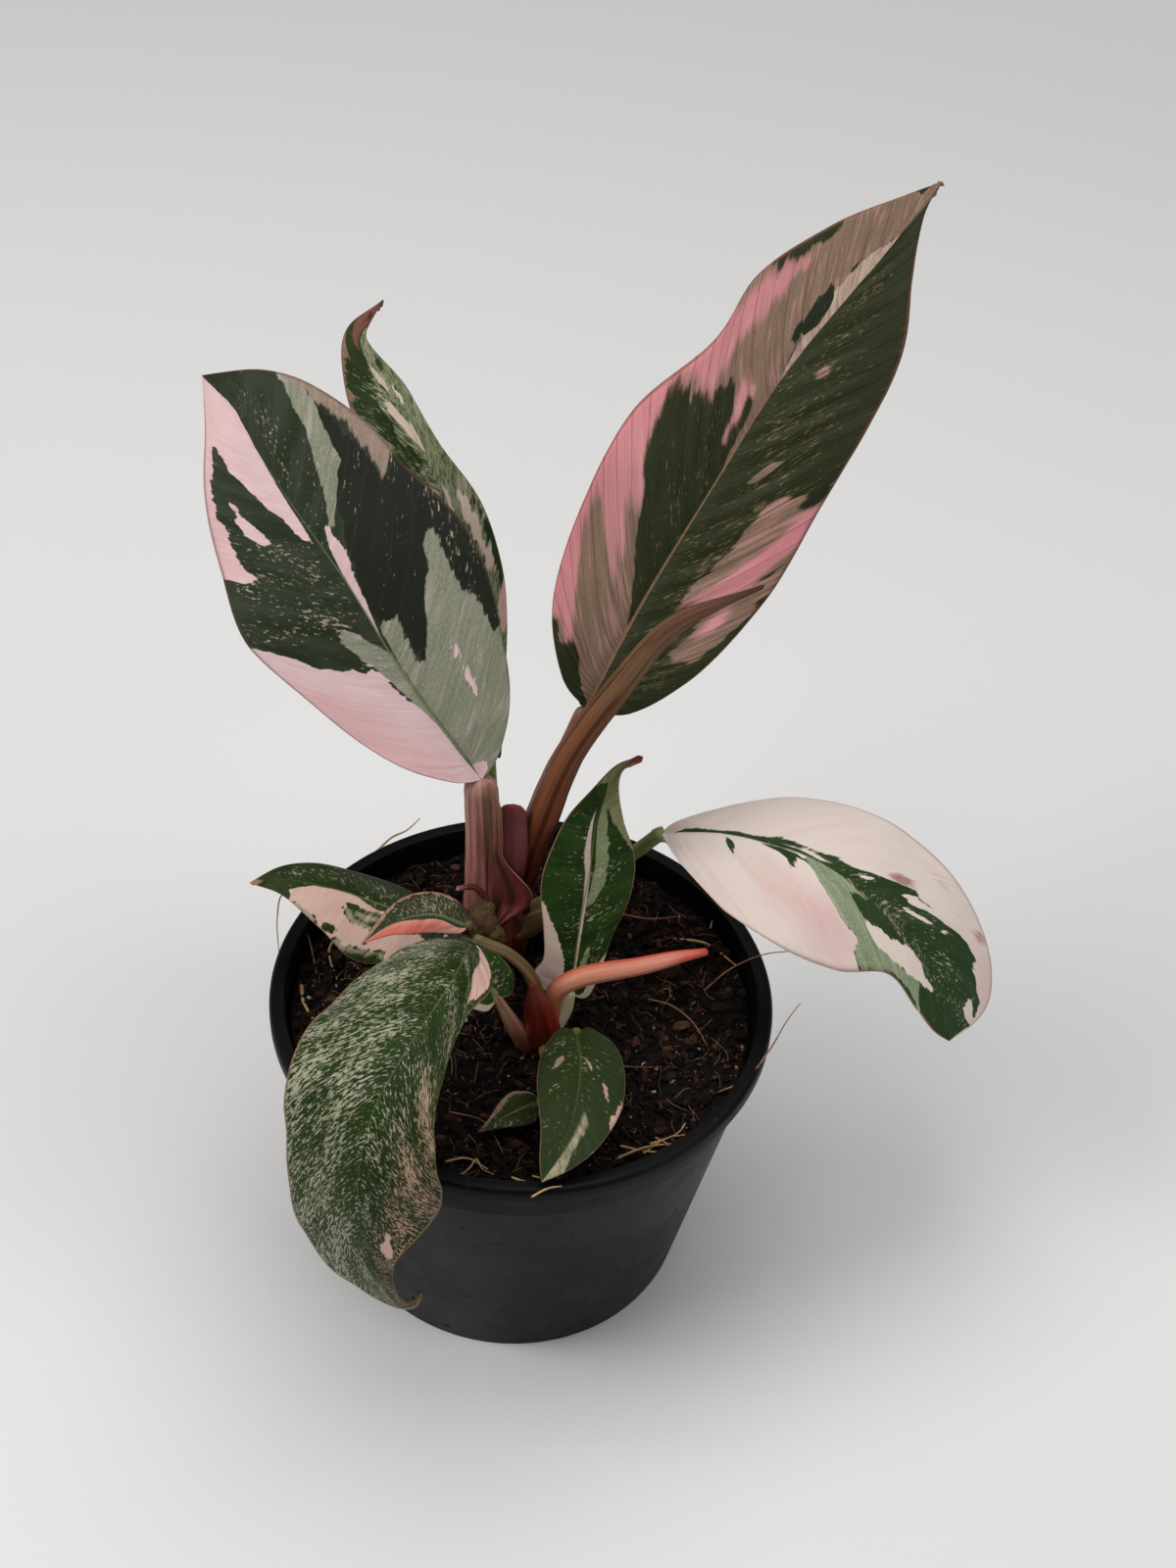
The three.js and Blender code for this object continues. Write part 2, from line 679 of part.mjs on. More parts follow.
function soilSolid(stems) {
  const slope = (bodyRadius - potBaseRadius) / (collarFoot - innerFloor);
  const wallAt = (z) => potBaseRadius - potWall + slope * (z - innerFloor) - seatGap;
  const bottom = innerFloor + seatGap;
  const ringAt = (radius, heightAt) => {
    const ring = [];
    for (let side = 0; side < potSides; side++) {
      const turn = (side / potSides) * 2 * Math.PI;
      const [x, y] = [radius * Math.cos(turn), radius * Math.sin(turn)];
      ring.push(new THREE.Vector3(x, y, heightAt(x, y)));
    }
    return ring;
  };
  const rings = [ringAt(wallAt(bottom), () => bottom), ringAt(wallAt(collarFoot), () => collarFoot)];
  for (const radius of [wallAt(collarFoot) + 0.2, 48, 38, 28, 18, 9]) {
    rings.push(ringAt(radius, soilLevel));
  }
  let soil = loft(rings);
  const random = randomFrom(11);
  const extras = straws.map((path) => stalk({ path, radii: [0.45, 0.5, 0.4], sides: 4, steps: 4 }));
  for (let chip = 0; chip < chipCount; chip++) {
    const turn = random() * 2 * Math.PI;
    const radius = lerp(chipInner, chipOuter, random());
    const bark = new THREE.BoxGeometry(3 + 3 * random(), 2 + 1.5 * random(), 1.6 + random());
    bark.rotateX(random() - 0.5);
    bark.rotateZ(random() * Math.PI);
    const [x, y] = [radius * Math.cos(turn), radius * Math.sin(turn)];
    bark.translate(x, y, soilLevel(x, y) + 0.3);
    extras.push(solidOf(bark));
  }
  soil = fuse([soil, ...extras]);
  return cutAll(soil, stems);
}

// ---- Put together ----

const looks = {
  pot: { color: 0x16171a, roughness: 0.5, metalness: 0 },
  potting_mix: { color: 0x2e1d14, roughness: 0.95, metalness: 0 },
  green: { color: 0x2f4a2c, roughness: 0.4, metalness: 0 },
  dark: { color: 0x2a3d30, roughness: 0.35, metalness: 0 },
  pale: { color: 0xcbb3ab, roughness: 0.5, metalness: 0 },
  speckled: { color: 0x5e7148, roughness: 0.45, metalness: 0 },
  pinkStalk: { color: 0xb07c78, roughness: 0.5, metalness: 0 },
  brownStalk: { color: 0x6d4a35, roughness: 0.5, metalness: 0 },
  redStalk: { color: 0x7d2c1c, roughness: 0.45, metalness: 0 },
  greenStalk: { color: 0x6c7a3c, roughness: 0.5, metalness: 0 },
  spike: { color: 0xd57862, roughness: 0.45, metalness: 0 },
  bark: { color: 0x5a4632, roughness: 0.8, metalness: 0 },
};

const lookOf = {
  leaf_left_blade: "dark",
  leaf_back_blade: "green",
  leaf_tall_blade: "dark",
  leaf_pale_blade: "pale",
  leaf_speckled_blade: "speckled",
  leaf_left_petiole: "pinkStalk",
  sheath_pink: "pinkStalk",
  leaf_tall_petiole: "brownStalk",
  sheath_tall: "brownStalk",
  sheath_red: "redStalk",
  stem_front: "redStalk",
  stem_rear: "bark",
  aerial_root: "bark",
  new_leaf_spike: "spike",
  pot: "pot",
  potting_mix: "potting_mix",
};

const group = new THREE.Group();
group.name = "pink_princess_philodendron";

function place(name, solid) {
  const look = looks[lookOf[name] ?? (name.endsWith("_blade") ? "green" : "greenStalk")];
  const mesh = new THREE.Mesh(geometryOf(solid), new THREE.MeshStandardMaterial(look));
  mesh.name = name;
  group.add(mesh);
}

const bladeNeighbours = {};
for (const [name, leaf] of Object.entries(leaves)) {
  place(`${name}_blade`, blade(leaf));
  bladeNeighbours[name] = blade(leaf, seatGap);
}

for (const crown of [rearCrown, frontCrown]) {
  const grown = [];
  for (const [name, shape] of Object.entries(crown)) {
    const neighbours = shape.carries ? [...grown, bladeNeighbours[shape.carries]] : grown;
    place(name, mainBody(cutAll(stalk(shape), neighbours)));
    grown.push(stalk(shape, seatGap));
  }
}

place("pot", potSolid());
const allStems = [...Object.values(rearCrown), ...Object.values(frontCrown)];
const stemHoles = allStems.map((shape) => stalk(shape, seatGap));
place("potting_mix", mainBody(soilSolid(stemHoles)));

export default group;
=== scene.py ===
import math
import random

import bmesh
import bpy
import numpy as np
from mathutils import Matrix, Vector, noise


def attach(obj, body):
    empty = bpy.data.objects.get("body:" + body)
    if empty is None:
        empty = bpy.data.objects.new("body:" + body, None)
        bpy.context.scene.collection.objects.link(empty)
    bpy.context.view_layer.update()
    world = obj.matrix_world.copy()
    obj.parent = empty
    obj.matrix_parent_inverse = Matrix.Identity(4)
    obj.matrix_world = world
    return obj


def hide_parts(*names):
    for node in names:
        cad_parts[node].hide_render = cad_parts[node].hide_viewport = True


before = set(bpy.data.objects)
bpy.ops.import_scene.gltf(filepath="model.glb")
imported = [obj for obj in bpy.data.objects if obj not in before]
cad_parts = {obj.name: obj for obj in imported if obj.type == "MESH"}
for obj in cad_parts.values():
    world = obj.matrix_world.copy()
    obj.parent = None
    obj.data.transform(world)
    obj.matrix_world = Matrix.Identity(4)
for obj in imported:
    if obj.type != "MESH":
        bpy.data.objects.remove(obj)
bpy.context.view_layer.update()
mm = 0.001
print("frame loaded:", len(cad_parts), "nodes")


# Shader maths: a socket that can be added to, multiplied and so on

class Sock:
    def __init__(self, look, socket):
        self.look = look
        self.socket = socket

    def maths(self, operation, *values):
        return self.look.node("ShaderNodeMath", {"operation": operation}, dict(enumerate(values)))

    def __add__(self, other):
        return self.maths("ADD", self, other)

    def __sub__(self, other):
        return self.maths("SUBTRACT", self, other)

    def __rsub__(self, other):
        return self.maths("SUBTRACT", other, self)

    def __mul__(self, other):
        return self.maths("MULTIPLY", self, other)

    def __truediv__(self, other):
        return self.maths("DIVIDE", self, other)

    __radd__ = __add__
    __rmul__ = __mul__

    def size(self):
        return self.maths("ABSOLUTE", self)

    def sine(self):
        return self.maths("SINE", self)

    def cosine(self):
        return self.maths("COSINE", self)

    def ramp(self, low, high, start=0.0, end=1.0):
        values = {"Value": self, "From Min": low, "From Max": high, "To Min": start, "To Max": end}
        return self.look.node("ShaderNodeMapRange", {"interpolation_type": "SMOOTHSTEP"}, values)


# One material: its nodes are made by node(), and its shader is ready to take them

class Look:
    def __init__(self, name, **fixed):
        self.material = bpy.data.materials.new(name)
        self.material.use_nodes = True
        self.nodes = self.material.node_tree.nodes
        self.links = self.material.node_tree.links
        self.nodes.clear()
        self.shader = self.nodes.new("ShaderNodeBsdfPrincipled")
        output = self.nodes.new("ShaderNodeOutputMaterial")
        self.links.new(self.shader.outputs[0], output.inputs[0])
        for socket, value in fixed.items():
            self.shader.inputs[socket.replace("_", " ")].default_value = value

    def node(self, kind, settings, values, output=0):
        made = self.nodes.new(kind)
        for key, value in settings.items():
            if key == "stops":
                self.fillRamp(made.color_ramp, value)
            else:
                setattr(made, key, value)
        for key, value in values.items():
            self.feed(made.inputs[key], value)
        return Sock(self, made.outputs[output])

    def feed(self, socket, value):
        if isinstance(value, Sock):
            self.links.new(value.socket, socket)
        else:
            socket.default_value = value

    def fillRamp(self, ramp, stops):
        ramp.elements[0].position, ramp.elements[0].color = stops[0]
        ramp.elements[1].position, ramp.elements[1].color = stops[-1]
        for place, colour in stops[1:-1]:
            ramp.elements.new(place).color = colour

    def vector(self, x, y, z):
        return self.node("ShaderNodeCombineXYZ", {}, {"X": x, "Y": y, "Z": z})

    def noise(self, vector, scale=1.0, detail=2.0, roughness=0.5, bend=0.0):
        values = {"Vector": vector, "Scale": scale, "Detail": detail, "Roughness": roughness,
                  "Distortion": bend}
        return self.node("ShaderNodeTexNoise", {}, values)

    def mix(self, factor, one, other):
        made = self.nodes.new("ShaderNodeMix")
        made.data_type = "RGBA"
        self.feed(made.inputs[0], factor)
        self.feed(made.inputs[6], one)
        self.feed(made.inputs[7], other)
        return Sock(self, made.outputs[2])

    def attribute(self, name):
        return self.node("ShaderNodeAttribute", {"attribute_name": name}, {}, 2)

    def uv(self, name):
        pair = self.node("ShaderNodeUVMap", {"uv_map": name}, {})
        return [self.node("ShaderNodeSeparateXYZ", {}, {0: pair}, axis) for axis in (0, 1)]

    def place(self):
        return self.node("ShaderNodeTexCoord", {}, {}, 3)

    def stops(self, factor, stops):
        return self.node("ShaderNodeValToRGB", {"stops": stops}, {0: factor})

    def finish(self, colour, roughness, height=None, depth=0.0):
        self.feed(self.shader.inputs["Base Color"], colour)
        self.feed(self.shader.inputs["Roughness"], roughness)
        if height is not None:
            bump = self.node("ShaderNodeBump", {}, {"Strength": 1.0, "Distance": depth, "Height": height})
            self.feed(self.shader.inputs["Normal"], bump)
        return self.material


def tone(red, green, blue):
    linear = [c / 12.92 if c < 0.0405 else ((c + 0.055) / 1.055) ** 2.4
              for c in (red / 255, green / 255, blue / 255)]
    return (*linear, 1.0)


# Curves and lists read by a share from 0 to 1

def softAt(values, share):
    place = min(max(share, 0.0), 1.0) * (len(values) - 1)
    low = min(int(place), len(values) - 2)
    part = place - low
    part = part * part * (3 - 2 * part)
    return values[low] + (values[low + 1] - values[low]) * part


class Spline:
    samples = 300

    def __init__(self, points):
        self.points = [Vector(point) for point in points]
        self.table = [0.0]
        last = self.bare(0.0)
        for step in range(1, self.samples + 1):
            here = self.bare(step / self.samples)
            self.table.append(self.table[-1] + (here - last).length)
            last = here
        self.length = self.table[-1]

    # the curve leans on the distance between its points, so that it never loops
    def bare(self, share):
        points = self.points
        count = len(points)
        place = share * (count - 1)
        low = min(int(place), count - 2)
        part = place - low
        second, third = points[low], points[low + 1]
        first = points[low - 1] if low > 0 else 2 * points[0] - points[1]
        fourth = points[low + 2] if low + 2 < count else 2 * points[-1] - points[-2]
        gaps = [max((b - a).length, 1e-6) ** 0.5
                for a, b in ((first, second), (second, third), (third, fourth))]
        leave = ((second - first) / gaps[0] - (third - first) / (gaps[0] + gaps[1])
                 + (third - second) / gaps[1])
        arrive = ((third - second) / gaps[1] - (fourth - second) / (gaps[1] + gaps[2])
                  + (fourth - third) / gaps[2])
        leave, arrive = leave * gaps[1], arrive * gaps[1]
        cube = 2 * second - 2 * third + leave + arrive
        square = -3 * second + 3 * third - 2 * leave - arrive
        return ((cube * part + square) * part + leave) * part + second

    def shareOf(self, share):
        target = min(max(share, 0.0), 1.0) * self.length
        low, high = 0, self.samples
        while high - low > 1:
            middle = (low + high) // 2
            if self.table[middle] > target:
                high = middle
            else:
                low = middle
        span = self.table[high] - self.table[low]
        return (low + (target - self.table[low]) / max(span, 1e-9)) / self.samples

    def point(self, share):
        return self.bare(self.shareOf(share))

    def tangent(self, share):
        middle = self.shareOf(share)
        step = 1e-3
        return (self.bare(min(middle + step, 1.0)) - self.bare(max(middle - step, 0.0))).normalized()


def edgeAt(points, share):
    place = min(max(share, 0.0), 1.0) * (len(points) - 1)
    low = min(int(place), len(points) - 2)
    part = place - low
    four = [points[max(low - 1, 0)], points[low], points[low + 1], points[min(low + 2, len(points) - 1)]]
    result = []
    for a, b, c, d in zip(*four):
        leave, arrive = (c - a) / 2, (d - b) / 2
        result.append(((2 * b - 2 * c + leave + arrive) * part
                       + (3 * c - 3 * b - 2 * leave - arrive)) * part * part
                      + leave * part + b)
    return result


# Turns a finished bmesh into a piece that rides on the pot

def makePiece(name, bm, materials, nodes, smooth=True):
    mesh = bpy.data.meshes.new(name)
    bm.to_mesh(mesh)
    bm.free()
    for material in materials:
        mesh.materials.append(material)
    for polygon in mesh.polygons:
        polygon.use_smooth = smooth
    piece = bpy.data.objects.new(name, mesh)
    bpy.context.scene.collection.objects.link(piece)
    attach(piece, "root")
    if nodes:
        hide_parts(*nodes)
    return piece


# Leaf blades. A leaf is drawn on veins, 0 at its base and 1 at its tip, and on shares, -1 at its left margin
# and 1 at its right.

bladeBuild = {
    "thickness": 0.6,
    "keelDepth": 0.9,
    "fanEnd": 0.3,
    "fanRise": 0.05,
    "sweep": 1.25,
    "crowding": 1.5,
}


def veinRoot(vein):
    fan, rise = bladeBuild["fanEnd"], bladeBuild["fanRise"]
    if vein < fan:
        return rise * vein / fan
    return rise + (1 - rise) * ((vein - fan) / (1 - fan)) ** 1.15


class BladeSheet:
    def __init__(self, leaf):
        self.leaf = leaf
        self.rib = Spline(leaf["rib"])
        self.length = self.rib.length
        self.widths = [max(out for _, out in leaf[side]["margin"]) for side in ("left", "right")]
        self.margins = [[(0, 0), *leaf[side]["margin"], (self.length, 0)] for side in ("left", "right")]

    def lay(self, along, out):
        side = self.leaf["left" if out < 0 else "right"]
        width = self.widths[0 if out < 0 else 1]
        place = min(max(along / self.length, 0.0), 1.0)
        reach = abs(out)
        tangent = self.rib.tangent(place)
        centre = self.rib.point(place) + tangent * (along - place * self.length)
        facing = Vector([softAt([f[axis] for f in self.leaf["face"]], place) for axis in range(3)])
        normal = (facing - tangent * facing.dot(tangent)).normalized()
        right = tangent.cross(normal)
        lift = math.radians(softAt(side["lift"], place))
        bend = math.radians(softAt(side["bend"], place)) or 1e-4
        turn = lift + bend * reach / width
        radius = width / bend
        sideways = radius * (math.sin(turn) - math.sin(lift))
        height, count, phase = side.get("wave", (0, 1, 0))
        wave = height * (reach / width) ** 2 * math.sin(2 * math.pi * (count * place + phase))
        raised = radius * (math.cos(lift) - math.cos(turn)) + wave
        return centre + right * (-sideways if out < 0 else sideways) + normal * raised, normal

    def at(self, vein, share):
        edge = edgeAt(self.margins[0 if share < 0 else 1], vein)
        root = veinRoot(vein) * self.length
        along = root + (edge[0] - root) * abs(share) ** bladeBuild["sweep"]
        point, normal = self.lay(along, edge[1] * share)
        return point, normal, edge[1] * abs(share)


# Signed depth inside an outline, in mm; a step across the veins counts for more than one along them
def depthInside(places, outline, scale):
    corners = np.array(outline, float) * scale
    points = places * scale
    nearest = np.full(len(points), 1e9)
    inside = np.zeros(len(points), bool)
    for start, end in zip(corners, np.roll(corners, -1, axis=0)):
        edge = end - start
        part = np.clip(((points - start) @ edge) / max(edge @ edge, 1e-9), 0, 1)
        gap = points - (start + part[:, None] * edge)
        nearest = np.minimum(nearest, np.hypot(gap[:, 0], gap[:, 1]))
        crosses = (start[1] > points[:, 1]) != (end[1] > points[:, 1])
        rise = end[1] - start[1]
        at = start[0] + (points[:, 1] - start[1]) * (edge[0] / (rise if abs(rise) > 1e-9 else 1e-9))
        inside ^= crosses & (points[:, 0] < at)
    return np.where(inside, nearest, -nearest)


# each layer covers the ones before it
layerNames = ("deep", "mint", "dusk", "pale")
fieldNames = ("fleck", "brown", "rose")
acrossVeins = 2.6


def paintLayers(leaf, sheet, places):
    scale = np.array([sheet.length * acrossVeins, sum(sheet.widths) / 2])
    layers = {name: np.full(len(places), -30.0) for name in layerNames}
    for layer, outline in leaf["patches"]:
        depth = depthInside(places, outline, scale)
        rank = layerNames.index(layer) if layer in layerNames else -1
        for name in layerNames[rank + 1:]:
            layers[name] = np.minimum(layers[name], -depth)
        if rank >= 0:
            layers[layer] = np.maximum(layers[layer], depth)
    for name in fieldNames:
        value = np.zeros(len(places))
        for strength, fade, outline in leaf.get(name, []):
            depth = depthInside(places, outline, scale)
            value = np.maximum(value, strength * np.clip(0.5 + depth / fade, 0, 1))
        layers[name] = value
    return layers


def bladeLook(leaf, sheet, under):
    paint = leaf["paint"]
    look = Look(leaf["piece"] + ("Under" if under else "Upper"), Specular_IOR_Level=0.09 if under else 0.1)
    u, vein = look.uv("leaf")
    share = u * 2.0 - 1.0
    out = share * (sum(sheet.widths) / 2)
    along = vein * sheet.length
    seed = paint.get("seed", 0.0)
    fingers = look.noise(look.vector(out * 0.09, along * 0.3, seed), 1.0, 4.0, 0.62) - 0.5
    fray = look.noise(look.vector(out * 0.5, along * 1.5, seed + 7), 1.0, 2.0) - 0.5
    grain = look.noise(look.vector(out * 1.9, along * 2.6, seed + 3), 1.0, 3.0, 0.7)
    broad = look.noise(look.vector(out * 0.06, along * 0.32, seed + 11), 1.0, 3.0, 0.6)
    streak = look.noise(look.vector(out * 0.11, along * 1.1, seed + 29), 1.0, 3.0, 0.6)
    calm = out.size().ramp(0.4, 4.0, 0.08, 1.0)
    jag = (fingers * paint.get("fingers", 7.0) + fray * paint.get("fray", 1.2)) * calm
    masks = {}
    for name in layerNames:
        edge = paint.get("soft", {}).get(name, 0.2)
        masks[name] = (look.attribute(name) + jag).ramp(-edge, edge)
    speckSize = paint.get("speckSize", 1.0)
    patchy = look.noise(look.vector(out * 0.1, along * 0.16, seed + 23), 1.0, 2.0) - 0.5
    specks = look.noise(look.vector(out * 0.62 / speckSize, along * 1.6 / speckSize, seed + 19),
                        1.0, 4.0, 0.72)
    flecks = (specks + look.attribute("fleck") * 0.18 + patchy * paint.get("patchy", 0.35)).ramp(0.66, 0.685)
    colour = look.mix(broad.ramp(0.32, 0.68), paint["green"], paint["greenTwo"])
    colour = look.mix(grain.ramp(0.5, 0.8) * paint.get("speckShow", 0.4), colour, paint["greenSpeck"])
    colour = look.mix(masks["deep"], colour,
                      look.mix(grain.ramp(0.5, 0.85) * 0.3, paint["deep"], paint["green"]))
    outer = share.ramp(-0.7, -0.15, 1.0, 0.0) * vein.ramp(0.3, 0.55)
    fleckTone = look.mix(outer, paint["fleck"], paint.get("fleckTwo", paint["fleck"]))
    colour = look.mix(flecks * paint.get("fleckShow", 0.8), colour, fleckTone)
    mint = look.mix(streak.ramp(0.35, 0.65), paint["mint"], paint["mintTwo"])
    mint = look.mix(grain.ramp(0.48, 0.78) * 0.4, mint, paint["pale"])
    mint = look.mix((1 - grain).ramp(0.5, 0.8) * 0.35, mint, paint["green"])
    gaps = paint.get("mottleFrom", 0.55)
    mint = look.mix((1 - specks).ramp(gaps, gaps + 0.05) * paint.get("mottle", 0.12), mint, paint["green"])
    mint = look.mix(broad.ramp(0.5, 0.75) * paint.get("mintBlush", 0.25), mint, paint["pale"])
    mint = look.mix(flecks * 0.6, mint, paint["pale"])
    colour = look.mix(masks["mint"], colour, mint)
    dusk = look.mix(streak.ramp(0.3, 0.7), paint["dusk"], paint["duskTwo"])
    dusk = look.mix(grain.ramp(0.45, 0.75) * 0.3, dusk, paint["pale"])
    dusk = look.mix((streak + patchy * 0.5).ramp(0.55, 0.62) * paint.get("duskStreak", 0.0),
                    dusk, paint["pale"])
    colour = look.mix(masks["dusk"], colour, dusk)
    pale = look.mix(streak.ramp(0.35, 0.7) * paint.get("streakShow", 0.6), paint["pale"], paint["blush"])
    pale = look.mix(broad.ramp(0.5, 0.8) * 0.6, pale, paint["blush"])
    pale = look.mix(look.attribute("rose") * (streak * 0.5 + 0.6), pale, paint["rose"])
    colour = look.mix(masks["pale"], colour, pale)
    comb = (vein * (math.pi * paint.get("veinCount", 26)) + fingers * 0.8).sine().size()
    veinLine = comb.ramp(0.0, 0.2, 1.0, 0.0)
    colour = look.mix(veinLine * broad.ramp(0.35, 0.65) * paint.get("veinShow", 0.08), colour, paint["vein"])
    ribReach = out.size() / (1.05 - vein)
    ribLine = ribReach.ramp(paint.get("ribWidth", 0.5) * 0.6, paint.get("ribWidth", 0.5) * 1.5, 1.0, 0.0)
    colour = look.mix(ribLine * paint.get("ribShow", 0.7), colour, paint["ribTone"])
    rim = share.size().ramp(0.972, 0.99)
    colour = look.mix(rim * paint.get("rimShow", 0.7), colour, paint["rimTone"])
    burnt = (look.attribute("brown") + fray * 0.7).ramp(0.2, 0.75)
    colour = look.mix(burnt * 0.9, colour, look.mix(grain.ramp(0.3, 0.7), paint["brown"], paint["brownTwo"]))
    rough = grain.ramp(0.2, 0.8, 0.42, 0.56) + masks["pale"] * 0.06
    if under:
        colour = look.mix(0.42, colour, paint["underTone"])
        rough = rough + 0.15
    relief = grain * 0.35 + veinLine * (0.5 if under else -paint.get("veinDepth", 0.2)) + fray * 0.2
    return look.finish(colour, rough, relief, 0.00018)


def makeBlade(leaf):
    sheet = BladeSheet(leaf)
    rows, columns = leaf.get("grid", (150, 56))
    relief = leaf.get("relief", {})
    bm = bmesh.new()
    bmesh.ops.create_grid(bm, x_segments=columns, y_segments=rows, size=1)
    uvLayer = bm.loops.layers.uv.new("leaf")
    fields = {name: bm.verts.layers.float.new(name) for name in (*layerNames, *fieldNames)}
    body = bm.verts.layers.deform.verify()
    bm.verts.index_update()
    places = []
    for vert in bm.verts:
        share = math.copysign(abs(vert.co.x) ** bladeBuild["crowding"], vert.co.x)
        places.append(((vert.co.y + 1) / 2, share))
    for face in bm.faces:
        for loop in face.loops:
            vein, share = places[loop.vert.index]
            loop[uvLayer].uv = ((share + 1) / 2, vein)
    layers = paintLayers(leaf, sheet, np.array(places))
    ribRadius = leaf["ribRadius"]
    thickest = bladeBuild["keelDepth"] * 2 * ribRadius
    least = bladeBuild["thickness"] / thickest
    for vert, (vein, share) in zip(bm.verts, places):
        point, normal, reach = sheet.at(vein, share)
        fade = max(0.0, 1 - vein * 1.1)
        groove = (-relief.get("groove", 0.45) * math.exp(-(reach / 1.1) ** 2)
                  * min(1.0, 12 * vein) * (1 - vein))
        shoulder = relief.get("shoulder", 0.25) * math.exp(-((reach - 2.6) / 1.5) ** 2) * (1 - vein)
        swell = math.sin(math.pi * min(abs(share) * 1.15, 1.0))
        comb = math.cos(2 * math.pi * vein * relief.get("pleats", 13) + 1.5 * share)
        pleat = relief.get("pleatHeight", 0.16) * comb * swell * min(1.0, 4 * vein) * min(1.0, 4 * (1 - vein))
        drift = noise.noise(point * relief.get("drift", 0.09)) * relief.get("driftHeight", 0.5) * abs(share)
        raised = bladeBuild["thickness"] / 2 + groove + shoulder + pleat + drift
        vert.co = (point + normal * raised) * mm
        across = min(reach / (ribRadius * (0.35 + 0.75 * fade)), 1.0)
        keel = math.sqrt(1 - across * across) * (0.3 + 0.7 * fade) * min(1.0, 30 * (1.02 - vein))
        vert[body][0] = min(max(least + (1 - least) * keel, 0.001), 1.0)
    for name, layer in fields.items():
        for vert, value in zip(bm.verts, layers[name]):
            vert[layer] = float(value)
    bmesh.ops.remove_doubles(bm, verts=bm.verts, dist=0.02 * mm)
    materials = [bladeLook(leaf, sheet, False), bladeLook(leaf, sheet, True)]
    piece = makePiece(leaf["piece"], bm, materials, [leaf["node"]])
    piece.vertex_groups.new(name="body")
    shell = piece.modifiers.new("shell", "SOLIDIFY")
    shell.thickness = thickest * mm
    shell.offset = -1
    shell.vertex_group = "body"
    shell.thickness_vertex_group = 0.0
    shell.use_even_offset = False
    shell.material_offset = 1
    shell.material_offset_rim = 0
    print("blade", leaf["piece"])
    return piece


# Colours that the leaves share

greens = {
    "green": tone(32, 42, 20), "greenTwo": tone(42, 52, 30), "greenSpeck": tone(66, 76, 50),
    "deep": tone(32, 36, 28), "mint": tone(120, 126, 103), "mintTwo": tone(138, 140, 119),
    "dusk": tone(132, 114, 98), "duskTwo": tone(152, 132, 116), "pale": tone(216, 194, 188),
    "blush": tone(202, 172, 168), "rose": tone(206, 150, 148), "fleck": tone(176, 162, 140),
    "vein": tone(140, 146, 118), "ribTone": tone(104, 116, 76), "rimTone": tone(128, 84, 76),
    "brown": tone(116, 78, 56), "brownTwo": tone(164, 120, 96), "underTone": tone(132, 124, 104),}

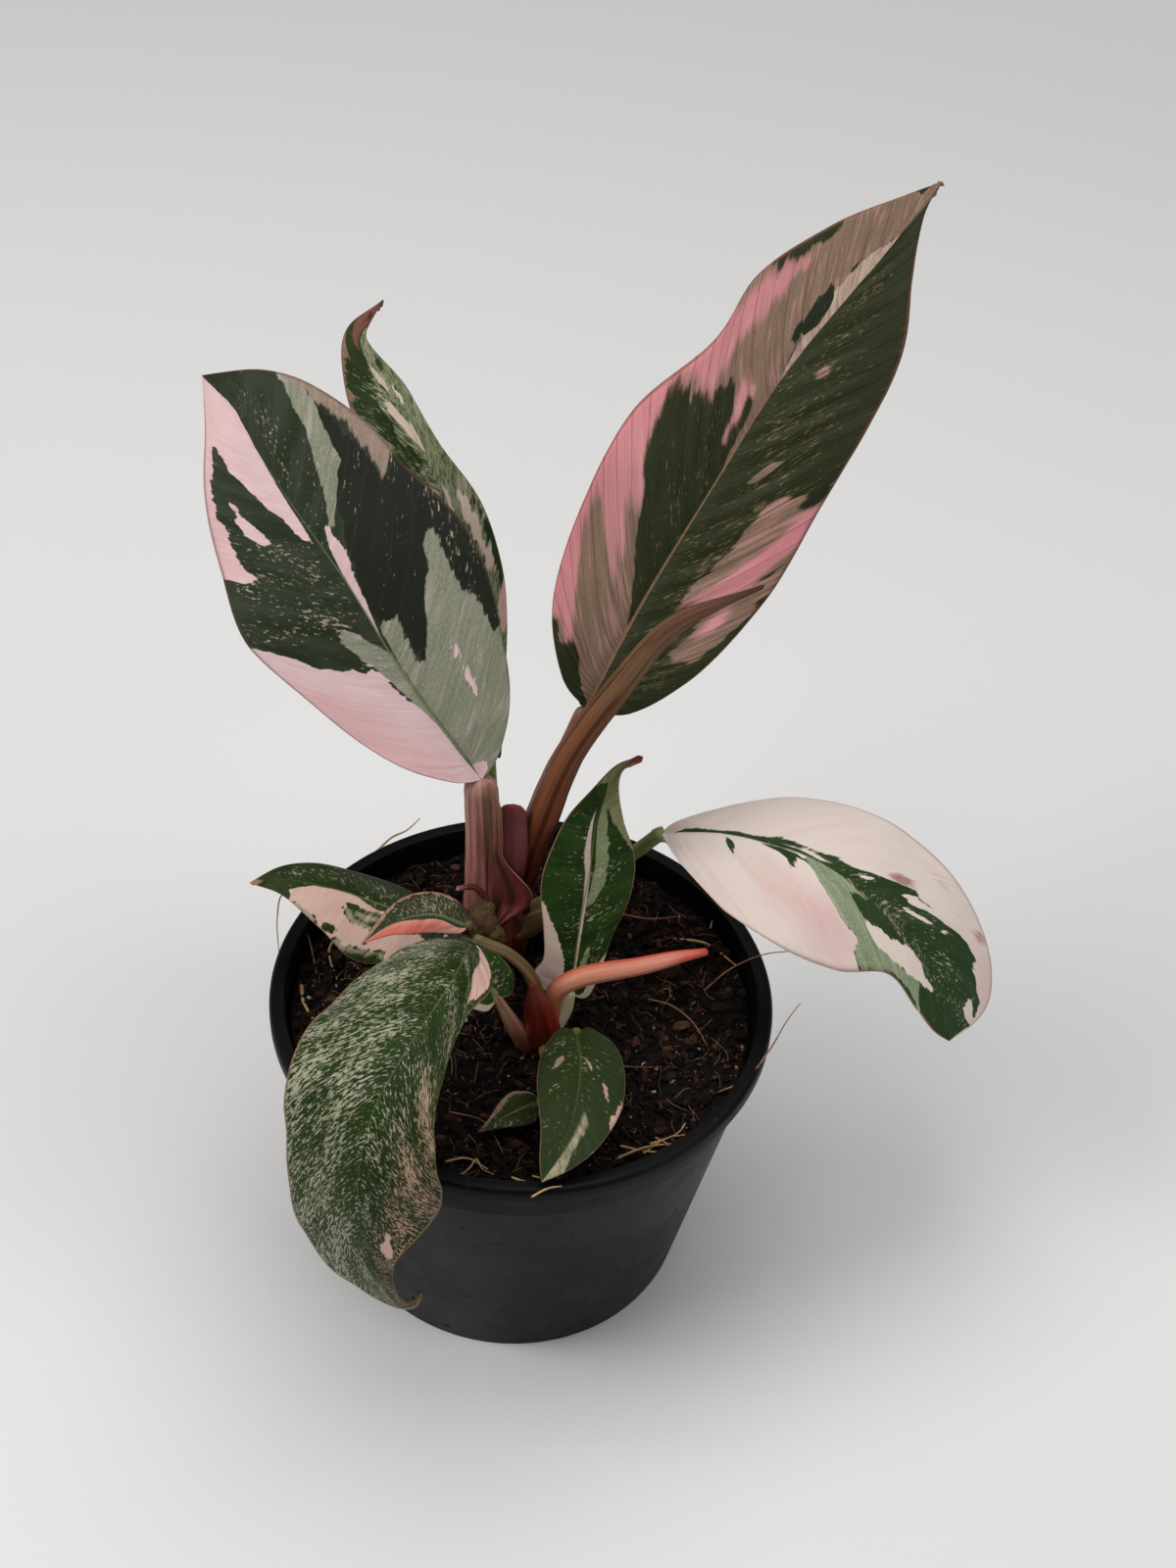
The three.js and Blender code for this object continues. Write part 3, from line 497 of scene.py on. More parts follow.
leftLeaf = {
    "piece": "leftLeafBlade", "node": "leaf_left_blade", "slot": "blade_variegated",
    "rib": [
        (-12, 15, 136.8), (-29, 24, 155.4), (-44, 35.5, 173.3), (-59.2, 49, 186.4), (-73.5, 64, 198.2),
        (-82.4, 76, 199.8)], "face": [(0.1, -0.75, 0.65), (0.1, -0.75, 0.65), (-0.1, -0.8, 0.6)],
    "left": {
        "margin": [(4, 5.8), (16, 13.8), (33, 20.3), (54, 26.2), (72, 21.5), (88, 15), (106, 4.8)],
        "lift": [18, 14, 8], "bend": [-18, -24, -20], "wave": (0.6, 2.5, 0.1),},
    "right": {
        "margin": [(3, 7.5), (14, 18.4), (32, 26), (50, 29.3), (68, 26), (82, 24.4), (97, 17.5), (108, 7)],
        "lift": [18, 14, 6], "bend": [-18, -26, -34], "wave": (0.6, 2, 0.5),}, "ribRadius": 1.7,
    "relief": {"pleatHeight": 0.07, "pleats": 12, "driftHeight": 0.8},
    "patches": [
        ("mint", [(0.56, 0.04), (0.56, 0.95), (0.3, 1.2), (-0.1, 1.2), (-0.1, 0.02), (0.5, 0.02)]),
        ("mint", [
            (0.83, 1.1), (0.815, 0.93), (0.795, 0.77), (0.77, 0.66), (0.75, 0.48), (0.715, 0.3),
            (0.70, 0.18), (0.685, 0.2), (0.695, 0.32), (0.70, 0.5), (0.71, 0.58), (0.70, 0.63),
            (0.72, 0.68), (0.74, 0.77), (0.77, 0.92), (0.79, 1.1)]),
        ("deep", [
            (0.76, 0.88), (0.71, 0.85), (0.65, 0.82), (0.61, 0.78), (0.585, 0.92), (0.58, 1.2), (0.30, 1.2),
            (0.31, 0.95), (0.325, 0.87), (0.35, 0.85), (0.375, 0.83), (0.41, 0.8), (0.43, 0.72),
            (0.455, 0.72), (0.49, 0.8), (0.505, 0.81), (0.515, 0.7), (0.49, 0.65), (0.505, 0.55),
            (0.485, 0.38), (0.455, 0.18), (0.49, 0.17), (0.52, 0.2), (0.54, 0.22), (0.55, 0.12),
            (0.58, 0.04), (0.61, 0.06), (0.65, 0.16), (0.68, 0.27), (0.695, 0.33), (0.705, 0.52),
            (0.70, 0.64), (0.72, 0.7), (0.74, 0.78)]),
        ("dusk", [
            (0.85, 1.2), (0.81, 0.97), (0.765, 0.92), (0.71, 0.88), (0.65, 0.84), (0.61, 0.8), (0.6, 0.86),
            (0.575, 1.2)]),
        ("pale", [
            (0.712, 0.13), (0.70, 0.19), (0.677, 0.165), (0.655, 0.15), (0.632, 0.09), (0.60, 0.05),
            (0.55, 0.0), (0.62, 0.0), (0.66, 0.02), (0.69, 0.06)]),
        ("pale", [(0.2, 0.02), (0.16, 0.2), (0.1, 0.5), (0.03, 0.7), (-0.1, 0.9), (-0.1, 0.0)]),
        ("pale", [(0.425, 0.44), (0.40, 0.47), (0.36, 0.46), (0.33, 0.43), (0.36, 0.42)]),
        ("pale", [
            (1.05, 0.1), (0.96, 0.2), (0.93, 0.22), (0.89, 0.08), (0.86, 0.0), (0.80, -0.04), (0.75, -0.05),
            (0.705, -0.06), (0.71, -0.16), (0.745, -0.24), (0.77, -0.42), (0.79, -0.6), (0.82, -0.86),
            (0.78, -0.92), (0.74, -0.92), (0.71, -0.9), (0.68, -0.86), (0.65, -0.82), (0.625, -0.76),
            (0.615, -0.84), (0.61, -1.2), (0.8, -1.2), (1.05, -1.2)]),
        ("pale", [
            (0.757, -0.76), (0.745, -0.68), (0.725, -0.6), (0.705, -0.52), (0.69, -0.48), (0.685, -0.6),
            (0.70, -0.68), (0.73, -0.76)]),
        ("mint", [
            (0.565, -0.34), (0.565, -0.2), (0.54, -0.06), (0.52, 0.01), (0.3, 0.01), (0.36, -0.03),
            (0.44, -0.09), (0.48, -0.15), (0.51, -0.2), (0.53, -0.3)]),
        ("pale", [
            (0.5, -1.2), (0.495, -0.9), (0.49, -0.72), (0.483, -0.6), (0.487, -0.5), (0.485, -0.42),
            (0.495, -0.35), (0.48, -0.26), (0.505, -0.2), (0.475, -0.14), (0.44, -0.08), (0.39, -0.02),
            (0.2, -0.02), (0.0, -0.02), (-0.1, -0.5), (-0.1, -1.2)]),],
    "fleck": [
        (0.4, 8, [(0.5, -1), (0.7, -0.8), (0.72, -0.1), (0.56, -0.1)]),
        (0.24, 6, [(0.4, 0.8), (0.6, 0.7), (0.6, 1.1), (0.4, 1.1)]),
        (0.24, 6, [(0.72, 0.05), (0.9, 0.2), (0.9, 0.7), (0.76, 0.6)])],
    "rose": [
        (0.5, 14, [(0.42, -0.5), (0.45, -1.2), (0.2, -1.2), (0.1, -0.6), (0.3, -0.3)]),
        (0.35, 8, [(1.05, -0.7), (0.8, -0.8), (0.62, -0.8), (0.6, -1.2), (1.05, -1.2)])],
    "paint": {
        **greens, "seed": 3.0, "pale": tone(217, 188, 188), "blush": tone(204, 168, 171),
        "green": tone(34, 43, 24), "greenTwo": tone(50, 57, 44), "mintBlush": 0.4, "soft": {"dusk": 0.6},
        "veinShow": 0.03, "rimTone": tone(104, 76, 66), "rimShow": 0.5},}

tallLeaf = {
    "piece": "tallLeafBlade", "node": "leaf_tall_blade", "slot": "blade_variegated",
    "rib": [
        (10.6, 20, 156), (21, 31, 177.2), (34.5, 44, 200.4), (48.3, 59, 221), (65.6, 77, 237.6),
        (80.6, 96, 250)], "face": [(0.1, -0.75, 0.65), (0.1, -0.75, 0.65), (0.1, -0.75, 0.65)],
    "left": {
        "margin": [
            (4, 8), (18, 17.8), (40, 22.8), (62, 23.6), (82, 16.8), (97, 18), (115, 13.3), (132, 5.2)],
        "lift": [18, 14, 10], "bend": [-18, -22, -20], "wave": (1.2, 3, 0.3),},
    "right": {
        "margin": [
            (4, 9.4), (19, 18.4), (42, 23.2), (63, 22.5), (87, 21.6), (104, 17.8), (119, 8.6), (132, 2)],
        "lift": [18, 14, 10], "bend": [-18, -22, -20], "wave": (1, 2.5, 0),}, "ribRadius": 1.8,
    "relief": {"pleatHeight": 0.34, "pleats": 24, "driftHeight": 0.9},
    "patches": [
        ("dusk", [(-0.1, 0), (1.1, 0), (1.1, -1.3), (-0.1, -1.3)]),
        ("pale", [
            (0.19, -1.2), (0.234, -0.76), (0.213, -0.64), (0.244, -0.53), (0.288, -0.6), (0.31, -0.71),
            (0.32, -0.84), (0.33, -0.9), (0.352, -0.91), (0.37, -0.89), (0.378, -0.81), (0.38, -0.64),
            (0.384, -0.46), (0.388, -0.36), (0.397, -0.36), (0.406, -0.46), (0.413, -0.34), (0.425, -0.47),
            (0.425, -0.63), (0.44, -0.59), (0.45, -0.5), (0.46, -0.57), (0.463, -0.68), (0.466, -0.79),
            (0.48, -0.88), (0.494, -0.93), (0.52, -0.94), (0.55, -0.81), (0.58, -0.62), (0.597, -0.66),
            (0.616, -0.69), (0.653, -0.68), (0.697, -0.66), (0.725, -0.71), (0.747, -0.78), (0.763, -0.81),
            (0.74, -0.88), (0.71, -0.9), (0.678, -0.91), (0.644, -0.92), (0.625, -0.92), (0.6, -1.2)]),
        ("pale", [
            (0.625, -0.2), (0.653, -0.28), (0.666, -0.36), (0.678, -0.31), (0.688, -0.2), (0.675, -0.18),
            (0.653, -0.15)]),
        ("mint", [
            (0.725, 0.0), (0.745, -0.07), (0.77, -0.16), (0.795, -0.24), (0.825, -0.33), (0.855, -0.38),
            (0.885, -0.3), (0.91, -0.12), (0.93, 0.1), (0.91, 0.16), (0.87, 0.1), (0.8, 0.03), (0.74, 0.02)]),
        ("green", [
            (0.394, -0.02), (0.419, -0.1), (0.434, -0.21), (0.447, -0.39), (0.456, -0.48), (0.463, -0.56),
            (0.459, -0.66), (0.466, -0.76), (0.472, -0.81), (0.481, -0.88), (0.491, -0.93), (0.503, -0.94),
            (0.516, -0.93), (0.528, -0.87), (0.531, -0.76), (0.544, -0.8), (0.556, -0.77), (0.572, -0.68),
            (0.582, -0.54), (0.594, -0.6), (0.61, -0.61), (0.634, -0.52), (0.653, -0.42), (0.65, -0.3),
            (0.62, -0.2), (0.645, -0.19), (0.672, -0.22), (0.682, -0.15), (0.66, -0.07), (0.625, -0.04),
            (0.6, 0.03), (0.4, 0.03)]),
        ("deep", [
            (0.809, -0.39), (0.791, -0.36), (0.775, -0.34), (0.759, -0.32), (0.748, -0.24), (0.76, -0.13),
            (0.775, -0.12), (0.794, -0.1), (0.809, -0.12), (0.816, -0.24)]),
        ("green", [
            (0.66, -1.2), (0.691, -0.98), (0.709, -0.92), (0.734, -0.9), (0.759, -0.89), (0.784, -0.9),
            (0.803, -0.93), (0.81, -1.2)]),
        ("green", [(0.93, -1.2), (0.92, -1), (0.938, -0.9), (0.95, -0.86), (0.985, -1.2)]),
        ("green", [
            (0.2, -1.2), (0.206, -0.96), (0.222, -0.84), (0.188, -0.84), (0.209, -0.64), (0.247, -0.55),
            (0.247, -0.41), (0.213, -0.35), (0.122, -0.32), (0.05, -0.1), (-0.1, -1.2)]),
        ("green", [(-0.1, 0.01), (0.86, 0.01), (0.93, 0.3), (0.95, 1.2), (-0.1, 1.2)]),
        ("dusk", [(0.92, 0.0), (1.1, 0.0), (1.1, 1.2), (0.95, 1.2), (0.93, 0.4)]),
        ("dusk", [
            (0.419, 0.33), (0.434, 0.34), (0.447, 0.43), (0.469, 0.49), (0.491, 0.51), (0.509, 0.55),
            (0.516, 0.62), (0.5, 0.74), (0.492, 0.88), (0.49, 1.2), (0.4, 1.2), (0.391, 0.95),
            (0.375, 0.79), (0.403, 0.38)]),
        ("pale", [
            (0.405, 0.34), (0.413, 0.47), (0.416, 0.53), (0.422, 0.62), (0.434, 0.73), (0.447, 0.83),
            (0.459, 0.84), (0.466, 0.86), (0.459, 0.92), (0.456, 0.99), (0.462, 1.2), (0.42, 1.2),
            (0.409, 0.99), (0.4, 0.91), (0.391, 0.83), (0.378, 0.79), (0.384, 0.64), (0.391, 0.49)]),
        ("deep", [
            (0.475, 0.83), (0.488, 0.82), (0.491, 0.87), (0.494, 0.93), (0.488, 0.99), (0.469, 0.99),
            (0.461, 0.96), (0.457, 0.91)]),
        ("dusk", [
            (0.388, 0.96), (0.378, 0.88), (0.375, 0.76), (0.372, 0.61), (0.353, 0.56), (0.331, 0.53),
            (0.316, 0.5), (0.281, 0.52), (0.27, 0.66), (0.253, 0.76), (0.259, 0.86), (0.278, 0.87),
            (0.297, 0.88), (0.306, 0.94), (0.319, 0.94), (0.341, 0.97), (0.35, 1.2), (0.4, 1.2)]),
        ("pale", [(0.359, 0.7), (0.338, 0.8), (0.325, 0.74), (0.319, 0.66), (0.331, 0.61), (0.35, 0.63)]),
        ("dusk", [(0.709, 0.37), (0.719, 0.42), (0.706, 0.52), (0.697, 0.46)]),
        ("dusk", [(0.58, 0.3), (0.59, 0.38), (0.58, 0.46), (0.572, 0.38)]),],
    "fleck": [
        (0.3, 8, [(0.42, -0.8), (0.6, -0.6), (0.7, -0.1), (0.42, 0)]),
        (0.5, 8, [(0.2, 0.05), (0.9, 0.1), (0.85, 0.6), (0.5, 0.8), (0.2, 0.7)])],
    "brown": [
        (0.42, 5, [(0.5, 0.97), (0.6, 0.94), (0.75, 0.95), (0.85, 1.2), (0.5, 1.2)]),
        (0.5, 3, [(0.97, -1.2), (1.1, -1.2), (1.1, 1.2), (0.97, 1.2)])],
    "rose": [
        (0.5, 10, [(0.2, -0.8), (0.2, -1.3), (0.75, -1.3), (0.75, -0.85), (0.5, -0.9)]),
        (0.4, 6, [(0.4, 0.5), (0.36, 1.2), (0.48, 1.2), (0.44, 0.7)])],
    "paint": {
        **greens, "seed": 21.0, "pale": tone(203, 144, 143), "blush": tone(188, 120, 124),
        "rose": tone(202, 108, 122), "deep": tone(34, 42, 28), "dusk": tone(116, 100, 80),
        "duskTwo": tone(138, 112, 94), "rimTone": tone(128, 84, 70), "green": tone(40, 44, 22),
        "greenTwo": tone(48, 52, 32), "fleck": tone(124, 106, 74), "fleckShow": 0.7, "speckSize": 1.1,
        "veinShow": 0.06, "veinDepth": 0.9, "veinCount": 34, "soft": {"pale": 1.5, "dusk": 0.4},
        "duskStreak": 0.3, "streakShow": 0.6, "mint": tone(170, 142, 124), "mintTwo": tone(196, 176, 158),
        "mottle": 0.0, "ribTone": tone(150, 118, 90)},}

backLeaf = {
    "piece": "backLeafBlade", "node": "leaf_back_blade", "slot": "blade_variegated",
    "rib": [
        (-11.7, 38, 125.6), (-18, 52, 154), (-26, 66, 177), (-38.2, 80, 194), (-48.6, 90, 204.3),
        (-43, 96, 211)], "face": [(0.2, -0.8, 0.6), (-0.1, -0.8, 0.55), (-0.5, -0.7, 0.4)],
    "left": {
        "margin": [(-2, 6), (14, 14), (35, 17), (56, 17), (76, 13), (92.5, 10), (104, 3)],
        "lift": [15, 15, 10], "bend": [-10, -10, -10],},
    "right": {
        "margin": [(-2, 2.4), (10, 4.4), (24, 8), (40, 10.6), (56, 9.6), (72, 4.8), (90, 3.7), (104, 2.4)],
        "lift": [-10, -30, -30], "bend": [-10, -10, -10], "wave": (0.8, 3, 0),}, "ribRadius": 1.5,
    "patches": [
        ("green", [(-0.1, -1.3), (1.1, -1.3), (1.1, 0.0), (-0.1, 0.0)]),
        ("mint", [(0.9, -0.05), (0.93, 1.2), (0.3, 1.2), (0.1, 0.6), (0.0, 0.0), (0.68, 0.0)]),
        ("mint", [
            (0.88, -0.3), (0.856, -0.36), (0.83, -0.52), (0.80, -0.5), (0.785, -0.42), (0.77, -0.36),
            (0.745, -0.34), (0.73, -0.26), (0.71, -0.2), (0.69, -0.3), (0.66, -0.2), (0.64, 0.0),
            (0.75, 0.0), (0.9, 0.0)]),
        ("green", [
            (0.765, -0.24), (0.75, -0.3), (0.735, -0.26), (0.725, -0.16), (0.74, -0.1), (0.755, -0.14)]),
        ("green", [(0.838, 0.3), (0.825, 0.44), (0.806, 0.42), (0.815, 0.28), (0.83, 0.2)]),
        ("green", [(0.87, 0.5), (0.85, 0.8), (0.83, 0.86), (0.845, 0.6), (0.86, 0.42)]),
        ("pale", [(0.90, -0.06), (0.885, 0.1), (0.863, 0.1), (0.848, -0.1), (0.862, -0.22), (0.88, -0.2)]),
        ("pale", [
            (0.83, -0.3), (0.815, -0.12), (0.80, 0.04), (0.788, 0.16), (0.768, 0.24), (0.748, 0.18),
            (0.757, 0.06), (0.772, -0.06), (0.781, -0.16), (0.791, -0.24), (0.80, -0.36)]),
        ("pale", [(0.842, 0.3), (0.825, 0.2), (0.81, 0.3), (0.80, 0.5), (0.815, 0.52), (0.83, 0.42)]),
        ("pale", [
            (0.631, 0.67), (0.606, 0.81), (0.581, 0.78), (0.553, 0.76), (0.528, 0.8), (0.506, 0.82),
            (0.484, 0.84), (0.488, 0.76), (0.519, 0.66), (0.556, 0.56), (0.591, 0.54), (0.613, 0.57)]),
        ("pale", [(0.70, 0.3), (0.67, 0.4), (0.64, 0.3), (0.66, 0.2), (0.69, 0.2)]),
        ("green", [
            (0.59, 0.9), (0.572, 0.84), (0.55, 0.86), (0.52, 0.86), (0.49, 0.84), (0.455, 0.86),
            (0.45, 0.98), (0.45, 1.2), (0.49, 1.2), (0.54, 0.98), (0.57, 0.96)]),
        ("pale", [(0.455, 0.7), (0.445, 0.9), (0.44, 1.2), (0.37, 1.2), (0.375, 0.83), (0.406, 0.73)]),
        ("dusk", [(0.88, -0.88), (0.84, -0.92), (0.76, -0.94), (0.66, -0.97), (0.66, -1.2), (0.9, -1.2)]),],
    "fleck": [(0.62, 10, [(0.4, -1), (0.85, -1), (0.85, -0.1), (0.4, -0.1)])],
    "brown": [(0.8, 8, [(0.91, -1.2), (1.1, -1.2), (1.1, 1.2), (0.93, 1.2), (0.92, 0.0)])],
    "rose": [(0.8, 6, [(0.5, 0.6), (0.5, 1.2), (0.3, 1.2), (0.3, 0.6)])],
    "paint": {
        **greens, "seed": 33.0, "dusk": tone(120, 92, 76), "duskTwo": tone(142, 112, 96),
        "brown": tone(108, 66, 56), "brownTwo": tone(136, 88, 78), "green": tone(34, 48, 16),
        "greenTwo": tone(44, 60, 26), "mint": tone(104, 114, 78), "mintTwo": tone(142, 146, 112),
        "pale": tone(208, 190, 174), "fleck": tone(148, 146, 112), "speckSize": 1.1, "mottle": 0.85,
        "mottleFrom": 0.5, "mintBlush": 0.5, "rimShow": 0.5},}

paleLeaf = {
    "piece": "paleLeafBlade", "node": "leaf_pale_blade", "slot": "blade_pale",
    "rib": [(30.4, 24, 115.6), (49, 17, 122), (70, 9, 122), (87, 2, 112), (97.6, -4, 98), (101, -9, 86)],
    "face": [(-0.1, -0.3, 0.95), (0.1, -0.4, 0.9), (0.5, -0.6, 0.5)],
    "left": {
        "margin": [(4, 3), (17, 8.5), (34, 16), (54, 20.4), (74, 20), (87, 17.4), (94.5, 12)],
        "lift": [10, 0, 0], "bend": [-16, -20, -20],},
    "right": {
        "margin": [(7, 8), (21, 17.5), (41, 22), (60, 18.5), (71, 10), (84, 8), (91.5, 5)],
        "lift": [-10, -10, 0], "bend": [-20, -20, -20],}, "ribRadius": 1.5,
    "relief": {"pleatHeight": 0.05, "pleats": 12, "driftHeight": 0.8, "groove": 0.5},
    "patches": [
        ("pale", [(-0.1, -1.3), (1.1, -1.3), (1.1, 1.3), (-0.1, 1.3)]),
        ("mint", [
            (0.575, 0.0), (0.6, -0.01), (0.63, 0.03), (0.67, 0.1), (0.68, 0.2), (0.655, 0.33), (0.64, 0.45),
            (0.634, 0.54), (0.622, 0.61), (0.618, 0.68), (0.626, 0.76), (0.65, 0.8), (0.70, 0.76),
            (0.76, 0.68), (0.803, 0.62), (0.78, 0.9), (0.72, 1.2), (0.552, 1.2), (0.554, 0.94),
            (0.556, 0.87), (0.569, 0.8), (0.58, 0.76), (0.572, 0.7), (0.562, 0.66), (0.559, 0.6),
            (0.562, 0.53), (0.562, 0.41), (0.567, 0.24)]),
        ("green", [
            (0.2, -0.06), (0.322, -0.1), (0.397, -0.07), (0.447, -0.07), (0.491, -0.08), (0.531, -0.11),
            (0.562, -0.11), (0.591, -0.11), (0.616, -0.13), (0.647, -0.2), (0.666, -0.31), (0.675, -0.44),
            (0.691, -0.47), (0.716, -0.49), (0.706, -0.41), (0.70, -0.33), (0.713, -0.31), (0.722, -0.35),
            (0.725, -0.42), (0.734, -0.47), (0.747, -0.56), (0.75, -0.66), (0.76, -0.72), (0.778, -0.76),
            (0.812, -0.71), (0.847, -0.78), (0.856, -0.86), (0.891, -0.88), (0.922, -0.97), (1.1, -0.9),
            (1.1, 1.3), (0.9, 1.3), (0.79, 1.3), (0.763, 0.92), (0.775, 0.78), (0.806, 0.63), (0.86, 0.5),
            (0.875, 0.39), (0.828, 0.43), (0.822, 0.28), (0.8, 0.28), (0.753, 0.37), (0.697, 0.5),
            (0.672, 0.51), (0.644, 0.56), (0.63, 0.55), (0.625, 0.49), (0.628, 0.36), (0.632, 0.26),
            (0.655, 0.22), (0.69, 0.2), (0.66, 0.1), (0.638, 0.05), (0.616, 0.02), (0.597, 0),
            (0.55, -0.01), (0.503, -0.01), (0.453, -0.02), (0.4, -0.03), (0.2, -0.03)]),
        ("pale", [
            (0.62, 0.6), (0.644, 0.56), (0.697, 0.51), (0.75, 0.4), (0.8, 0.28), (0.819, 0.31),
            (0.828, 0.43), (0.875, 0.39), (0.859, 0.48), (0.806, 0.56), (0.769, 0.61), (0.70, 0.71),
            (0.665, 0.77), (0.64, 0.77), (0.628, 0.72), (0.622, 0.66)]),
        ("pale", [(0.7, -0.33), (0.7, -0.41), (0.725, -0.42), (0.728, -0.35), (0.719, -0.28)]),
        ("pale", [
            (0.735, -0.17), (0.744, -0.28), (0.759, -0.39), (0.772, -0.34), (0.763, -0.25), (0.75, -0.15)]),
        ("pale", [(0.769, -0.42), (0.761, -0.52), (0.772, -0.51), (0.777, -0.43)]),
        ("pale", [(0.655, -0.09), (0.663, -0.2), (0.672, -0.19), (0.671, -0.09)]),
        ("pale", [
            (0.60, -0.02), (0.56, -0.05), (0.52, -0.05), (0.56, -0.075), (0.60, -0.06), (0.62, -0.05)]),
        ("pale", [
            (0.888, -0.62), (0.866, -0.74), (0.884, -0.78), (0.922, -0.97), (0.922, -0.76), (0.913, -0.6)]),
        ("green", [
            (0.421, 0.0), (0.428, 0.04), (0.43, 0.08), (0.416, 0.17), (0.404, 0.24), (0.408, 0.16),
            (0.412, 0.07)]),
        ("green", [
            (0.49, 0.0), (0.531, -0.01), (0.56, 0.01), (0.575, 0.1), (0.554, 0.07), (0.543, 0.13),
            (0.524, 0.25), (0.516, 0.23), (0.526, 0.12), (0.52, 0.06)]),
        ("green", [
            (0.553, 1.2), (0.553, 0.99), (0.606, 0.985), (0.666, 0.95), (0.719, 0.91), (0.747, 0.93),
            (0.76, 1.2)]),], "fleck": [(0.42, 6, [(0.62, -0.3), (0.95, -0.7), (0.95, 0.5), (0.62, 0.2)])],
    "brown": [
        (0.9, 3, [(0.65, -0.34), (0.636, -0.47), (0.65, -0.54), (0.672, -0.47), (0.67, -0.35)]),
        (0.85, 3, [(0.709, -0.85), (0.68, -0.97), (0.70, -0.99), (0.728, -0.86)]),
        (0.42, 10, [(0.578, -0.78), (0.56, -0.93), (0.606, -0.98), (0.638, -0.8), (0.622, -0.68)])],
    "rose": [
        (0.75, 10, [(0.5, 0.3), (0.56, 0.5), (0.57, 0.9), (0.5, 0.95), (0.42, 0.6), (0.42, 0.3)]),
        (0.6, 8, [(0.75, -0.86), (0.85, -0.86), (0.93, -0.9), (0.93, -1.2), (0.72, -1.2)])],
    "paint": {
        **greens, "seed": 41.0, "pale": tone(226, 210, 200), "blush": tone(216, 197, 188),
        "rose": tone(216, 174, 170), "streakShow": 0.3, "green": tone(34, 56, 20),
        "greenTwo": tone(44, 66, 34), "mint": tone(118, 134, 98), "mintTwo": tone(142, 156, 124),
        "fingers": 4.0, "fray": 1.4, "veinShow": 0.03, "vein": tone(214, 190, 178), "ribShow": 0.0,
        "rimTone": tone(188, 140, 130), "rimShow": 0.5, "brown": tone(140, 92, 82),
        "brownTwo": tone(178, 130, 118), "underTone": tone(206, 186, 170)},}

speckledLeaf = {
    "piece": "speckledLeafBlade", "node": "leaf_speckled_blade", "slot": "blade_speckled",
    "rib": [
        (-11.4, -9, 109), (-15, -30, 116), (-23, -50, 115), (-28.3, -62, 109), (-30.4, -68.5, 97),
        (-29.5, -71, 79), (-25, -70, 59), (-20, -67.5, 50), (-17, -66, 52.5)],
    "face": [(-0.2, -0.1, 0.95), (-0.3, -0.3, 0.9), (-0.25, -0.7, 0.6), (-0.2, -1, 0.1), (-0.1, -1, 0)],
    "left": {
        "margin": [
            (4, 4.5), (16, 8.5), (28, 7), (42, 9.5), (60, 14.5), (80, 18.5), (91, 15), (100, 6), (113, 2)],
        "lift": [-30, -20, -10], "bend": [-20, -20, -20], "wave": (1, 3.5, 0.2),},
    "right": {
        "margin": [
            (2, 5), (10, 12), (23, 20), (39, 23.5), (57, 21.5), (77, 18.5), (97, 16.8), (112, 9.5),
            (122, 2.6)], "lift": [24, 10, -4, -10], "bend": [-20, -24, -26, -26], "wave": (1, 3, 0),},
    "ribRadius": 1.6, "relief": {"pleatHeight": 0.2, "pleats": 16, "driftHeight": 1.0, "drift": 0.12},
    "patches": [
        ("pale", [
            (0.06, -0.2), (0.1, -0.45), (0.2, -0.4), (0.3, -0.5), (0.32, -0.75), (0.26, -0.9),
            (0.12, -0.85)]),
        ("pale", [
            (0.762, -0.6), (0.768, -0.7), (0.78, -0.72), (0.785, -0.84), (0.80, -0.9), (0.812, -0.8),
            (0.806, -0.7), (0.818, -0.62), (0.80, -0.56), (0.785, -0.63)]),],
    "fleck": [
        (0.5, 10, [(-0.1, -1.3), (-0.1, 1.3), (1.1, 1.3), (1.1, -1.3)]),
        (0.84, 14, [(-0.1, 0.1), (1.1, 0.0), (1.1, 1.3), (-0.1, 1.3)]),
        (0.7, 12, [(0.45, -0.2), (1.1, -0.1), (1.1, -1.3), (0.45, -1.3)]),
        (0.92, 5, [(0.47, 0.45), (0.455, 0.52), (0.44, 0.45), (0.445, 0.3), (0.46, 0.32)]),
        (0.96, 6, [(0.47, -0.5), (0.49, -0.8), (0.53, -0.75), (0.52, -0.45)]),
        (0.96, 5, [(0.55, -0.3), (0.56, -0.45), (0.59, -0.4), (0.58, -0.25)]),
        (0.94, 6, [(0.58, -0.5), (0.62, -0.8), (0.70, -0.75), (0.68, -0.45)]),
        (0.94, 5, [(0.72, -0.1), (0.74, -0.3), (0.78, -0.3), (0.77, -0.1)])],
    "brown": [(0.35, 6, [(0.95, -1.3), (1.1, -1.3), (1.1, 1.3), (0.95, 1.3)])],
    "paint": {
        **greens, "seed": 55.0, "green": tone(27, 44, 9), "greenTwo": tone(37, 56, 17),
        "greenSpeck": tone(66, 80, 40), "fleck": tone(160, 158, 134), "pale": tone(210, 174, 162),
        "blush": tone(202, 160, 146), "vein": tone(150, 152, 116), "veinShow": 0.1,
        "ribTone": tone(120, 124, 84), "ribWidth": 0.3, "ribShow": 0.4, "rimTone": tone(140, 112, 84),
        "speckSize": 0.8, "patchy": 0.3, "fleckShow": 0.95, "speckShow": 0.4, "veinDepth": 0.9,
        "fleckTwo": tone(186, 150, 130)},}

